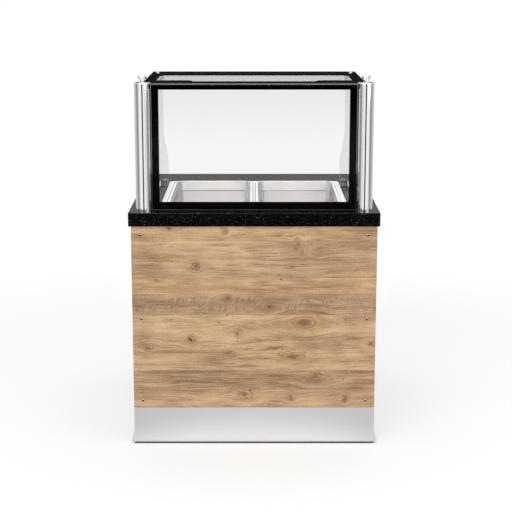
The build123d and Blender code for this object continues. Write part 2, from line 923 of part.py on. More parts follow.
def thermostat_shaft():
    """The thermostat's spindle, held in the knob and turning in the thermostat's collar."""
    shaft = along_z(Circle(shaft_radius), -thermostat_depth * 0.5, knob_height - 5)
    return Pos(knob_x, fascia_front, control_z) * facing_rear(shaft)


def thermostat():
    """The thermostat's case behind the fascia, with a collar for the spindle."""
    case = along_z(RectangleRounded(thermostat_size, thermostat_size, 3), -thermostat_depth, 0)
    case -= along_z(Circle(shaft_radius + shaft_fit), -thermostat_depth * 0.5 - 1, 0)
    for side in (-1, 1):
        tab = Pos(side * thermostat_size * 0.28, 0) * Rectangle(6.3, 0.8)
        case += along_z(tab, -thermostat_depth - 8, -thermostat_depth)
    return Pos(knob_x, frame_rear, control_z) * facing_rear(case)


def thermostat_bulb():
    """The sensing bulb against the well's rear wall and its capillary from the thermostat."""
    start = frame_rear - thermostat_depth
    bulb_end = knob_x + bulb_length
    exit_z = control_z + thermostat_size / 4
    side_x = knob_x - capillary_side
    first_y = start - capillary_exit
    last_y = bulb_y + capillary_side / 2
    points = [
        (knob_x, start, exit_z),
        (knob_x, first_y, exit_z),
        (side_x, (first_y + last_y) / 2, (exit_z + bulb_z) / 2),
        (side_x, last_y, bulb_z),
        (knob_x - capillary_side / 2, bulb_y, bulb_z),
        (knob_x, bulb_y, bulb_z),
    ]
    path = FilletPolyline(*points, radius=capillary_bend)
    section = Plane(points[0], z_dir=(0, -1, 0)) * Circle(capillary_radius)
    bulb = along_x(Pos(bulb_y, bulb_z) * Circle(bulb_radius), knob_x, bulb_end)
    return sweep(section, path) + bulb


def switch_opening():
    return (rocker_width + 2 * switch_wall + 1, rocker_height + 2 * switch_wall + 4)


def switch_housing():
    width, height = switch_opening()
    face = skin + switch_bezel_height
    case = along_z(Rectangle(width - 2 * seat_gap, height - 2 * seat_gap), -switch_depth, face)
    bezel = RectangleRounded(width + 2 * switch_bezel, height + 2 * switch_bezel, 2)
    case += along_z(bezel, skin, face)
    well = Rectangle(rocker_width + 2 * fit, height - 2 * switch_wall)
    case -= along_z(well, -switch_depth * 0.4, skin + switch_bezel_height)
    case -= along_x(Circle(rocker_pin + shaft_fit), -width * 0.45, width * 0.45)
    for side in (-1, 1):
        tab = Pos(0, side * height * 0.22) * Rectangle(6.3, 0.8)
        case += along_z(tab, -switch_depth - 8, -switch_depth)
    return Pos(rocker_x, frame_rear, control_z) * facing_rear(case)


def rocker():
    """The switch's rocker at OFF, tilted about its pin: dished face, rounded back."""
    half = rocker_height / 2
    face = rocker_depth
    dish = ThreePointArc((face, -half), (face - rocker_dish, 0), (face, half))
    back = Polyline((face, half), (0, half - 1), (-rocker_pin - 2, 0), (0, -half + 1), (face, -half))
    body = along_x(make_face(dish + back), -rocker_width / 2, rocker_width / 2)
    pin_half = rocker_width / 2 + switch_wall * 0.6
    body += along_x(Circle(rocker_pin), -pin_half, pin_half)
    return Pos(rocker_x, frame_rear, control_z) * (Rot(rocker_tilt, 0, 0) * body)


def pilot_lamp_body():
    bezel = ring(lamp_bezel, lamp_radius * 0.8)
    body = along_z(bezel, skin, skin + lamp_bezel_height)
    barrel = ring(lamp_radius, lamp_radius * 0.8)
    body += along_z(barrel, -lamp_depth, skin)
    body += along_z(Circle(lamp_radius), -lamp_depth - 2, -lamp_depth)
    for side in (-1, 1):
        tab = Pos(side * lamp_radius * 0.45, 0) * Rectangle(0.8, 2.8)
        body += along_z(tab, -lamp_depth - 10, -lamp_depth)
    return Pos(lamp_x, frame_rear, control_z) * facing_rear(body)


def pilot_lamp_lens():
    radius = lamp_radius * 0.8 - thread_fit
    top = skin + lamp_bezel_height + lamp_dome
    lens = along_z(Circle(radius), -lamp_depth * 0.5, top)
    lens = fillet(lens.faces().sort_by(Axis.Z)[-1].edges(), lamp_dome)
    return Pos(lamp_x, frame_rear, control_z) * facing_rear(lens)


def cable_gland():
    """The inlet for the mains lead: hexagon, dome nut, and a thread through the fascia."""
    body = along_z(Circle(gland_thread), -gland_inside, skin)
    body += along_z(hexagon(gland_hex), skin, skin + gland_hex_height)
    dome_base = skin + gland_hex_height
    dome_top = dome_base + gland_dome_height
    body += turned(
        (0, dome_base),
        (gland_hex * 0.46, dome_base),
        (gland_hex * 0.46, dome_top - 5),
        (gland_hex * 0.34, dome_top),
        (0, dome_top),
    )
    body -= along_z(Circle(gland_cable), -gland_inside, dome_top)
    return Pos(gland_x, frame_rear, control_z) * facing_rear(body)


def gland_locknut():
    nut = hexagon(gland_hex) - Circle(gland_thread + thread_fit)
    shape = along_z(nut, -seat_gap - gland_hex_height, -seat_gap)
    return Pos(gland_x, frame_rear, control_z) * facing_rear(shape)


def terminal_block():
    """A row of terminals on the fascia's inner face, with a wire hole and a screw to each way."""
    half = terminal_length / 2
    pitch = terminal_length / terminal_ways
    block = along_z(RectangleRounded(terminal_length, terminal_height, 2), -terminal_depth, 0)
    for i in range(terminal_ways):
        x = -half + (i + 0.5) * pitch
        block -= along_z(Pos(x, 0) * Circle(pitch * 0.28), -terminal_depth, -terminal_depth * 0.5)
        wire_hole = Pos(x, -terminal_depth * 0.75) * Circle(pitch * 0.2)
        block -= along_y(wire_hole, -terminal_height / 2, terminal_height / 2)
    return Pos(terminal_x, frame_rear, control_z) * facing_rear(block)


# Glass hood, drawn for the right-hand side


def post_profile():
    """A round tube with a channel for the front glass and two fine grooves on its front."""
    outline = Circle(post_radius)
    hollow = Circle(post_radius - post_wall)
    inset = slot_depth + slot_wall
    channel = Pos(-post_radius + inset / 2, 0) * Rectangle(inset, 2 * (slot_half + slot_wall))
    profile = outline - hollow + (channel & outline)
    profile -= Pos(-post_radius, 0) * Rectangle(2 * slot_depth, 2 * slot_half)
    for angle in post_groove_angles:
        groove = Rot(0, 0, -angle) * Pos(0, -post_radius)
        profile -= groove * Rectangle(post_groove_width, 2 * post_groove_depth)
    return profile


def hood_posts():
    return left_right(along_z(Pos(post_x, post_y) * post_profile(), top_height, cap_bottom))


def post_caps():
    """Rounded end caps on the posts, beside the notched corners of the top glass."""
    r = post_radius
    edge = ThreePointArc(
        (r, cap_top - cap_round),
        (r - cap_round * 0.293, cap_top - cap_round * 0.293),
        (r - cap_round, cap_top),
    )
    rest = Polyline(
        (r - cap_round, cap_top),
        (stud_radius + seat_gap, cap_top),
        (stud_radius + seat_gap, cap_bottom),
        (r, cap_bottom),
        (r, cap_top - cap_round),
    )
    cap = revolve(Plane.XZ * make_face(edge + rest), Axis.Z)
    return left_right(Pos(post_x, post_y, 0) * cap)


def on_dome(angle):
    """A point of the dome nut's flattened round outline, by its angle above the waist."""
    turn = math.radians(angle)
    middle = dome_bottom + dome_height / 2
    return (dome_radius * math.cos(turn), middle + dome_height / 2 * math.sin(turn))


def dome_nuts():
    """Flattened ball-shaped nuts on flared necks, which draw the caps down on the posts' studs."""
    neck_angle = -math.degrees(math.acos(neck_radius / dome_radius))
    crown = on_dome(84)
    upper = ThreePointArc(on_dome(0), on_dome(45), crown)
    lower = ThreePointArc(on_dome(neck_angle), on_dome(neck_angle / 2), on_dome(0))
    rest = Polyline(
        crown,
        (0, crown[1]),
        (0, cap_top),
        (neck_radius + 3, cap_top),
        (neck_radius, cap_top + 2),
        on_dome(neck_angle),
    )
    nut = revolve(Plane.XZ * make_face(lower + upper + rest), Axis.Z)
    bore = Circle(stud_radius + thread_fit)
    nut -= along_z(bore, cap_top, dome_bottom + dome_height * 0.5)
    return left_right(Pos(post_x, post_y, 0) * nut)


def post_studs():
    """Threaded studs set in the granite, up through the posts to the dome nuts."""
    end = dome_bottom + dome_height * 0.5 - 1
    stud = along_z(Circle(stud_radius), top_height - stud_depth, end)
    return left_right(Pos(post_x, post_y, 0) * stud)


def front_glass():
    low = top_height + seat_gap
    centre = Pos(0, (low + glass_top) / 2)
    pane = centre * Rectangle(2 * front_glass_half, glass_top - low)
    return along_y(pane, post_y - glass / 2, post_y + glass / 2)


def front_glass_print():
    """The black printed border on the inner face of the front glass."""
    half = post_x - post_radius - seat_gap
    low = top_height + 2 * seat_gap
    outline = Pos(0, (low + glass_top) / 2) * Rectangle(2 * half, glass_top - low)
    window_low = top_height + front_print_bottom
    window_high = glass_top - front_print_top
    window = Pos(0, (window_low + window_high) / 2)
    window *= RectangleRounded(2 * (half - front_print_side), window_high - window_low, 1)
    face = post_y + glass / 2
    return along_y(outline - window, face, face + print_thickness)


def side_glasses():
    """Side panes: the rear edge falls, sweeps back in an S and drops to the worktop."""
    front = post_y + glass / 2 + print_thickness + side_glass_gap
    upper = front_y + side_glass_upper_reach
    lower = front_y + side_glass_lower_reach
    low = side_glass_bottom
    bend_top = top_height + side_glass_bend_top
    bend_bottom = top_height + side_glass_bend_bottom
    rear_edge = FilletPolyline(
        (upper, glass_top),
        (upper, bend_top),
        (lower, bend_bottom),
        (lower, low),
        radius=[side_glass_bend_radius, side_glass_toe_radius],
    )
    rest = Polyline((lower, low), (front, low), (front, glass_top), (upper, glass_top))
    half = glass / 2
    pane = along_x(make_face(rear_edge + rest), side_glass_x - half, side_glass_x + half)
    hole = Pos(roof_clamp_y, roof_clamp_z) * Circle(roof_clamp_bolt + fit)
    return left_right(pane - along_x(hole, side_glass_x - half, side_glass_x + half))


def roof_outline(inset):
    """The top glass from above, with a round notch at each front corner for the post's cap."""
    front = front_y + top_glass_front + inset
    rear = front_y + top_glass_rear - inset
    half = top_glass_half - inset
    outline = Pos(0, (front + rear) / 2) * Rectangle(2 * half, rear - front)
    outline = fillet(outline.vertices().group_by(Axis.Y)[-1], top_glass_corner)
    for x in (-post_x, post_x):
        outline -= Pos(x, post_y) * Circle(post_radius + top_glass_notch_gap + inset)
        strip = post_radius + top_glass_notch_gap + inset
        outer = math.copysign(post_x + 2 * strip, x)
        corner = Pos((x + outer) / 2, post_y - strip / 2)
        outline -= corner * Rectangle(abs(outer - x), strip)
    return outline


def roof_screw_places():
    return [(side * roof_screw_x, roof_clamp_y) for side in (-1, 1)]


def top_glass():
    pane = along_z(roof_outline(0), hood_top, roof_glass_top)
    for x, y in roof_screw_places():
        pane -= along_z(Pos(x, y) * Circle(roof_screw_shank + fit), hood_top, roof_glass_top)
    return pane


def print_window():
    """The clear window in the top print: rounded at the rear, with a deeper bay at the front."""
    rear = front_y + window_rear
    front = front_y + window_front
    bay = front - window_bay_depth
    outline = Polyline(
        (-window_half, rear),
        (-window_half, front),
        (-window_bay_half - window_bay_slope, front),
        (-window_bay_half, bay),
        (window_bay_half, bay),
        (window_bay_half + window_bay_slope, front),
        (window_half, front),
        (window_half, rear),
        close=True,
    )
    window = make_face(outline)
    return fillet(window.vertices().group_by(Axis.Y)[-1], window_corner)


def top_glass_print():
    layer = roof_outline(print_edge) - print_window()
    for x, y in roof_screw_places():
        layer -= Pos(x, y) * Circle(roof_screw_shank + 1)
    return along_z(layer, hood_top - print_thickness, hood_top)


def base_clamps():
    """Chrome clamps on the worktop: a round body slotted for the side glass."""
    body = along_z(Circle(base_clamp_radius), 0, base_clamp_height)
    body = fillet(body.faces().sort_by(Axis.Z)[-1].edges(), base_clamp_round)
    slot = Rectangle(2 * slot_half, 3 * base_clamp_radius)
    body -= along_z(slot, side_glass_lift - seat_gap, base_clamp_height)
    screw = Pos(0, base_clamp_height * 0.6) * Circle(base_clamp_screw + thread_fit)
    body -= along_x(screw, slot_half - 1, base_clamp_radius + 1)
    return left_right(Pos(side_glass_x, base_clamp_y, top_height) * body)


def base_clamp_screw_right():
    """A grub screw in the outer jaw, which presses on the glass."""
    tip = slot_half - fit + seat_gap
    end = base_clamp_radius - 2
    screw = along_x(Circle(base_clamp_screw), tip, end)
    screw -= along_x(hexagon(base_clamp_screw), end - 3, end)
    return Pos(side_glass_x, base_clamp_y, top_height + base_clamp_height * 0.6) * screw


def roof_clamps():
    """Clamps between the side glasses and the top glass: two jaws on a through-bolt."""
    jaw = RectangleRounded(roof_clamp_length, roof_clamp_height, roof_clamp_round)
    jaw = Pos(roof_clamp_y, roof_clamp_z) * jaw
    inner_face = side_glass_x - slot_half
    outer_face = side_glass_x + slot_half
    clamp = along_x(jaw, inner_face - roof_clamp_inner, inner_face)
    clamp += along_x(jaw, outer_face, outer_face + roof_clamp_outer)
    bolt = Pos(roof_clamp_y, roof_clamp_z) * Circle(roof_clamp_bolt)
    clamp += along_x(bolt, inner_face, outer_face)
    top = roof_clamp_z + roof_clamp_height / 2
    thread = Pos(roof_screw_x, roof_clamp_y) * Circle(roof_screw_shank + thread_fit)
    return left_right(clamp - along_z(thread, top - roof_screw_length, top))


def roof_screw_right():
    """A chrome screw down through the top glass into the clamp."""
    head = roof_screw_head
    rise = roof_screw_head_height
    screw = turned(
        (0, -roof_screw_length + 2),
        (roof_screw_shank, -roof_screw_length + 2),
        (roof_screw_shank, 0),
        (head, 0),
        (head, rise * 0.4),
        (head * 0.8, rise),
        (0, rise),
    )
    screw -= along_z(hexagon(roof_screw_shank * 1.3), rise * 0.4, rise)
    return Pos(roof_screw_x, roof_clamp_y, roof_glass_top + seat_gap) * screw


def clamp_screws():
    return left_right(group(base_clamp_screw_right(), roof_screw_right()))


def all_parts():
    return {
        "worktop": worktop(),
        "front_panel": front_panel(),
        "front_panel_screws": panel_screws(),
        "kick_plate": kick_plate(),
        "side_panels": side_panels(),
        "frame_uprights": frame_uprights(),
        "frame_top_rails": frame_top_rails(),
        "frame_mid_rail": frame_mid_rail(),
        "frame_bottom_rails": frame_bottom_rails(),
        "levelling_feet": levelling_feet(),
        "foot_locknuts": foot_locknuts(),
        "base_shelf": base_shelf(),
        "bain_marie_well": bain_marie_well(),
        "divider_bar": divider_bar(),
        "pan_right": food_pan(),
        "pan_left": left_of(food_pan()),
        "heating_element": heating_element(),
        "element_glands": element_glands(),
        "drain_fitting": drain_fitting(),
        "drain_locknut": drain_locknut(),
        "drain_valve_body": valve_body(),
        "drain_valve_ball": valve_ball(),
        "drain_lever": drain_lever(),
        "drain_lever_nut": lever_nut(),
        "drain_pipe": drain_pipe(),
        "door_right": door_tray(),
        "door_left": left_of(door_tray()),
        "door_liner_right": door_liner_sheet(),
        "door_liner_left": left_of(door_liner_sheet()),
        "door_handle_right": door_handle(),
        "door_handle_left": left_of(door_handle()),
        "door_bushes_right": door_bushes(),
        "door_bushes_left": left_of(door_bushes()),
        "door_pivots": door_pivots(),
        "door_catches": door_catches(),
        "control_fascia": fascia(),
        "fascia_screws": fascia_screws(),
        "thermostat_knob": thermostat_knob(),
        "thermostat_shaft": thermostat_shaft(),
        "thermostat": thermostat(),
        "thermostat_bulb": thermostat_bulb(),
        "rocker": rocker(),
        "switch_housing": switch_housing(),
        "pilot_lamp_body": pilot_lamp_body(),
        "pilot_lamp_lens": pilot_lamp_lens(),
        "cable_gland": cable_gland(),
        "gland_locknut": gland_locknut(),
        "terminal_block": terminal_block(),
        "hood_posts": hood_posts(),
        "post_caps": post_caps(),
        "dome_nuts": dome_nuts(),
        "post_studs": post_studs(),
        "front_glass": front_glass(),
        "front_glass_print": front_glass_print(),
        "side_glasses": side_glasses(),
        "top_glass": top_glass(),
        "top_glass_print": top_glass_print(),
        "base_clamps": base_clamps(),
        "roof_clamps": roof_clamps(),
        "clamp_screws": clamp_screws(),
    }


os.makedirs("parts", exist_ok=True)
for name, shape in all_parts().items():
    export_step(shape, f"parts/{name}.step")
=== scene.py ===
"""The looks of the bain marie buffet counter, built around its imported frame.

Lengths are in metres. A pair of numbers for a step is where a smooth rise starts and where it ends.
"""

import json
import math

import bmesh
import bpy
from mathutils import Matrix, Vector


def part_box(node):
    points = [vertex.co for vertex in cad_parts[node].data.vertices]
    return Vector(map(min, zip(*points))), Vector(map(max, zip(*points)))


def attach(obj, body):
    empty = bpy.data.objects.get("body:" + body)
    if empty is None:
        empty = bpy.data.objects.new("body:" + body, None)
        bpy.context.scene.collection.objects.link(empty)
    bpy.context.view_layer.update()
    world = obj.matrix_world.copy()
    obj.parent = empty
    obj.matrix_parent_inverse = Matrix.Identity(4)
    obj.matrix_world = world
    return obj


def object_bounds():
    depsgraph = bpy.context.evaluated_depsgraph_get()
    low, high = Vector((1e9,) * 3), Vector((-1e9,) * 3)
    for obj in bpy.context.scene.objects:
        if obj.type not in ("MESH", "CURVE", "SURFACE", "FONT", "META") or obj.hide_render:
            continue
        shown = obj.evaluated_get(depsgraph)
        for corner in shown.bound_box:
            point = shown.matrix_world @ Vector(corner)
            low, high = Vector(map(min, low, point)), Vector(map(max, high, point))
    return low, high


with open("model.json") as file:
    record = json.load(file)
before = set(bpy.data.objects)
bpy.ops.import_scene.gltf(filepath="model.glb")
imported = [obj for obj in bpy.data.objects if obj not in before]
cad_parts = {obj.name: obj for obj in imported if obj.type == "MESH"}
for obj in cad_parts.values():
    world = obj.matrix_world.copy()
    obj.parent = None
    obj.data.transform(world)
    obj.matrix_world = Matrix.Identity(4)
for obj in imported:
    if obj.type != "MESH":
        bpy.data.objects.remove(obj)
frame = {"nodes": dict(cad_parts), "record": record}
cad_low, cad_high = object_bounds()
nodes = frame["nodes"]


# Colours

SCREEN_WHITE = 255
SCREEN_STRAIGHT_PART = 10


def srgb(red, green, blue):
    """A colour as a screen shows it, 0 to 255, turned by the sRGB curve into linear values."""

    def linear(value):
        share = value / SCREEN_WHITE
        if value > SCREEN_STRAIGHT_PART:
            return ((share + 0.055) / 1.055) ** 2.4
        return share / 12.92

    return (linear(red), linear(green), linear(blue), 1.0)


def dimmed(colour, share):
    return (*(share * value for value in colour[:3]), 1.0)


def scaled(pair, by):
    return [by * value for value in pair]


# Shader building


class Nodes:
    """Short calls for the nodes of one tree. A value is a constant or another node's output."""

    def __init__(self, tree):
        self.tree = tree
        tree.nodes.clear()

    def put(self, value, socket):
        """Links value to the socket if it is another node's output, and else sets it there."""
        if isinstance(value, bpy.types.NodeSocket):
            self.tree.links.new(value, socket)
        else:
            socket.default_value = value

    def add(self, kind, inputs=(), **settings):
        """A new node. Inputs pairs the names or numbers of its sockets with their values."""
        node = self.tree.nodes.new("ShaderNode" + kind)
        for setting, value in settings.items():
            setattr(node, setting, value)
        for socket, value in dict(inputs).items():
            self.put(value, node.inputs[socket])
        return node

    def math(self, operation, *values, clamp=False):
        return self.add("Math", enumerate(values), operation=operation, use_clamp=clamp).outputs[0]

    def product(self, first, *others):
        for other in others:
            first = self.math("MULTIPLY", first, other)
        return first

    def difference(self, first, second):
        return self.math("SUBTRACT", first, second)

    def absolute(self, value):
        return self.math("ABSOLUTE", value)

    def larger(self, first, second):
        return self.math("MAXIMUM", first, second)

    def step(self, value, start, end, low=0.0, high=1.0):
        """A smooth rise from low, where value is start, to high, where it is end."""
        names = ("Value", "From Min", "From Max", "To Min", "To Max")
        inputs = zip(names, (value, start, end, low, high))
        return self.add("MapRange", inputs, interpolation_type="SMOOTHSTEP").outputs[0]

    def split(self, vector):
        return self.add("SeparateXYZ", {0: vector}).outputs

    def join(self, x, y, z):
        return self.add("CombineXYZ", enumerate((x, y, z))).outputs[0]

    def distance(self, vector, point):
        node = self.add("VectorMath", enumerate((vector, point)), operation="DISTANCE")
        return node.outputs["Value"]


class Shader(Nodes):
    """A node material with one Principled shader, on whose own sockets its constants are set."""

    def __init__(self, name, **constants):
        self.material = bpy.data.materials.new(name)
        self.material.use_nodes = True
        super().__init__(self.material.node_tree)
        self.output = self.add("OutputMaterial")
        self.surface = self.add("BsdfPrincipled")
        self.show(self.surface.outputs[0])
        self.material.diffuse_color = constants.get("Base_Color", (0.5, 0.5, 0.5, 1))
        for socket, value in constants.items():
            self.feed(socket.replace("_", " "), value)

    def feed(self, socket, value):
        self.put(value, self.surface.inputs[socket])

    def show(self, shader):
        self.put(shader, self.output.inputs["Surface"])

    def place(self, stretch=(1, 1, 1), shift=(0, 0, 0)):
        """The point in the object's own frame, multiplied by stretch and then moved by shift."""
        point = self.add("TexCoord").outputs["Object"]
        inputs = {"Vector": point, "Scale": stretch, "Location": shift}
        return self.add("Mapping", inputs).outputs[0]

    def noise(self, vector, scale=1.0, detail=3.0, roughness=0.5):
        inputs = {"Vector": vector, "Scale": scale, "Detail": detail, "Roughness": roughness}
        return self.add("TexNoise", inputs).outputs["Fac"]

    def specks(self, vector, cell, edge, rarity):
        """Scattered specks, at most one in each cell, and a random value for each of them.

        A speck fades in over the distances in edge, in cells. A cell has one where its random
        number lies past those in rarity.
        """
        spots = self.add("TexVoronoi", {"Vector": vector, "Scale": 1 / cell})
        chance, other, _ = self.add("SeparateColor", {0: spots.outputs["Color"]}).outputs
        inside = self.step(spots.outputs["Distance"], *edge)
        return self.product(inside, self.step(chance, *rarity)), other

    def blend(self, share, first, second):
        """The first colour where share is 0 and the second where it is 1."""
        return self.add("Mix", {"Factor": share, 6: first, 7: second}, data_type="RGBA").outputs[2]

    def mix(self, share, first, second):
        """The first shader where share is 0 and the second where it is 1."""
        return self.add("MixShader", enumerate((share, first, second))).outputs[0]

    def bump(self, height, distance, strength=1.0):
        """Lets height, from 0 to 1, raise the surface by up to distance metres."""
        inputs = {"Strength": strength, "Distance": distance, "Height": height}
        self.feed("Normal", self.add("Bump", inputs).outputs[0])


# Granite of the worktop

FLAKE_CELL = 0.0038
FLAKE_EDGE = (0.34, 0.18)
FLAKE_RARITY = (0.93, 0.96)
FLAKE_TONES = (srgb(60, 60, 60), srgb(200, 198, 194))
FLAKE_DULLNESS = 0.2
DUST_CELL = 0.0024
DUST_SHIFT = (0.3, 0.7, 0.1)
DUST_EDGE = (0.40, 0.22)
DUST_RARITY = (0.86, 0.92)
DUST_TONES = (srgb(30, 30, 32), srgb(110, 112, 116))
GRANITE_CLOUD_SCALE = 60
GRANITE_TONES = (srgb(1, 1, 1), srgb(6, 6, 7))
GRANITE_ROUGHNESS = 0.14


def granite():
    """Polished black granite with sparse bright flakes and finer dust between them."""
    look = Shader("granite", Base_Color=srgb(8, 8, 9), Specular_IOR_Level=0.2)
    flake, flake_tone = look.specks(look.place(), FLAKE_CELL, FLAKE_EDGE, FLAKE_RARITY)
    dust, dust_tone = look.specks(look.place(shift=DUST_SHIFT), DUST_CELL, DUST_EDGE, DUST_RARITY)
    ground = look.blend(look.noise(look.place(), GRANITE_CLOUD_SCALE), *GRANITE_TONES)
    dusty = look.blend(dust, ground, look.blend(dust_tone, *DUST_TONES))
    look.feed("Base Color", look.blend(flake, dusty, look.blend(flake_tone, *FLAKE_TONES)))
    look.feed("Roughness", look.math("MULTIPLY_ADD", flake, FLAKE_DULLNESS, GRANITE_ROUGHNESS))
    return look.material


# Wood of the front panel

# Knots: place along and up the panel, radius, length over height, how dark, how strong a ring.
KNOTS = (
    (-0.311, 0.826, 0.009, 1.3, 0.8, 0.0),
    (-0.108, 0.816, 0.013, 0.8, 0.6, 1.0),
    (-0.213, 0.686, 0.014, 1.0, 0.8, 1.0),
    (-0.356, 0.629, 0.011, 2.8, 0.45, 0.0),
    (-0.097, 0.562, 0.015, 1.2, 0.7, 0.5),
    (0.055, 0.529, 0.012, 1.3, 0.7, 0.3),
    (0.158, 0.765, 0.014, 0.5, 0.6, 0.2),
    (0.176, 0.735, 0.012, 0.4, 0.55, 0.0),
    (0.238, 0.747, 0.013, 1.4, 0.4, 0.0),
    (0.184, 0.470, 0.023, 1.9, 0.75, 0.4),
    (-0.234, 0.403, 0.014, 1.1, 1.0, 0.3),
    (-0.393, 0.371, 0.013, 1.6, 0.7, 0.0),
    (-0.060, 0.426, 0.015, 1.0, 0.6, 0.4),
    (0.146, 0.339, 0.012, 3.8, 0.7, 0.0),
    (0.081, 0.371, 0.006, 5.0, 0.7, 0.0),
    (0.436, 0.389, 0.012, 1.2, 0.7, 0.2),
    (-0.035, 0.190, 0.017, 1.7, 0.7, 0.3),
    (0.139, 0.180, 0.012, 0.9, 0.75, 0.3),
    (0.340, 0.172, 0.013, 0.8, 0.8, 1.0),
    (-0.095, 0.352, 0.009, 2.2, 0.5, 0.0),
    (0.239, 0.266, 0.020, 1.8, 0.2, 0.6),
)
# Small dark pips: place along and up the panel, and radius.
PIPS = (
    (-0.104, 0.499, 0.004),
    (-0.130, 0.470, 0.003),
    (-0.006, 0.466, 0.003),
    (0.090, 0.653, 0.004),
    (0.099, 0.634, 0.005),
    (0.142, 0.685, 0.003),
    (0.336, 0.478, 0.004),
    (0.307, 0.462, 0.003),
    (-0.355, 0.264, 0.003),
    (0.330, 0.248, 0.004),
    (0.290, 0.246, 0.003),
    (-0.304, 0.532, 0.004),
    (-0.015, 0.205, 0.005),
)
# Planks from the bottom up: height of the lower edge, and how much darker and warmer they are.
PLANKS = (
    (0.000, -0.03, 0.0),
    (0.214, 0.13, -0.5),
    (0.287, -0.02, 0.2),
    (0.356, -0.09, 0.0),
    (0.504, 0.19, -0.8),
    (0.581, 0.05, 0.6),
    (0.644, 0.00, -0.2),
    (0.783, -0.10, 0.3),
)
# Thin growth lines: density along and across, the noise level that they follow, half width,
# density of the places that show them, and depth.
GROWTH_LINES = (
    (2.2, 120, 0.50, 0.026, 1.3, 0.75),
    (2.8, 210, 0.56, 0.032, 1.9, 0.65),
    (5.0, 330, 0.44, 0.040, 2.7, 0.55),
    (1.5, 60, 0.42, 0.012, 3.3, 0.70),
)
GROWTH_LINE_NOISE = (3, 0.5)
GROWTH_LINE_PLACES = (3.0, 5.0)
GROWTH_LINE_SHOWN = (0.47, 0.62)
GROWTH_LINE_TONE = srgb(118, 84, 58)
# Short cracks and pale flecks: seed, cell size along and up, how rare, how strong, and colour.
CRACKS = (
    (11.0, (0.060, 0.010), 0.90, 0.75, srgb(92, 66, 46)),
    (12.0, (0.022, 0.008), 0.93, 0.80, srgb(84, 60, 42)),
    (13.0, (0.110, 0.012), 0.88, 0.50, srgb(228, 198, 162)),
)
CRACK_EDGE = (0.17, 0.07)
CRACK_RARITY_BLUR = 0.02

NOISE_MEAN = 0.5
# Around a knot, in radii: where the growth lines part, and its core, halo and ring.
KNOT_PARTING = (0.3, 3.6)
KNOT_PARTING_SHARE = 0.9
KNOT_CORE = (0.85, 0.3)
KNOT_HALO = (2.6, 0.9)
KNOT_RING = 0.95
KNOT_RING_WIDTH = (0.24, 0.05)
KNOT_RING_LEAST = 0.45
PIP_EDGE = (1.15, 0.5)
HALO_SHARE, HALO_TONE = 0.42, srgb(172, 128, 84)
RING_SHARE, RING_TONE = 0.9, srgb(92, 66, 46)
CORE_SHARE, CORE_TONE = 0.85, srgb(80, 55, 38)
# Random shifts that make round marks irregular: density, and a seed and reach for each way.
WOBBLE_SCALE = 45
WOBBLE_ALONG = (2.0, 0.030)
WOBBLE_UP = (5.0, 0.022)

SEAM_BLUR = 0.0006
SEAM_WAVER_SCALE = 4
SEAM_WAVER_SEED = 8.0
SEAM_WAVER = 0.008
SEAM_WIDTH = 0.0016
SEAM_SHARE, SEAM_TONE = 0.35, srgb(120, 88, 62)
PLANK_SHIFT = 3.7
WANDER_SCALES = (2.2, 5.0)
WANDER = 0.05

# Layers of the wood's tone. Three run with the growth lines: density along and across them,
# detail, and roughness.
BROAD = (1.8, 18, 3, 0.55)
MEDIUM = (3.5, 85, 5, 0.65)
FINE = (14.0, 600, 5, 0.7)
# Two lie level: density along, seed, density up.
PATCH = (9, 3.0, 22)
GRIT = (160, 7.0, 420)
LEVEL_ROUGHNESS = 0.6
BROAD_SHARE, MEDIUM_SHARE, FINE_SHARE, PATCH_SHARE, GRIT_SHARE = 1.5, 1.2, 1.2, 1.0, 1.3
MEAN_TONE = 0.62
PLANK_WARMTH = 0.35
PATCH_WARMTH = 0.1
LIGHT_WOOD = (srgb(212, 181, 145), srgb(223, 184, 137))
DEEP_WOOD = (srgb(132, 101, 74), srgb(144, 100, 60))

# Saw marks: the row that they are in, and their lean, density, seeds and tone.
SAW_ROW_HEIGHT = 0.540
SAW_ROW_EDGE = (0.036, 0.0216)
SAW_LEAN = -0.35
SAW_MARKS = (150, 4.0, 26)
SAW_MARK_EDGE = (0.50, 0.62)
SAW_PATCHES = (5.0, 9.0, 12)
SAW_PATCH_EDGE = (0.40, 0.55)
SAW_SHARE, SAW_TONE = 0.6, srgb(120, 92, 70)

WOOD_ROUGHNESS = 0.42
WOOD_ROUGHNESS_SPREAD = 0.15
WOOD_RELIEF = 0.00025
CORE_HOLLOW = 0.5


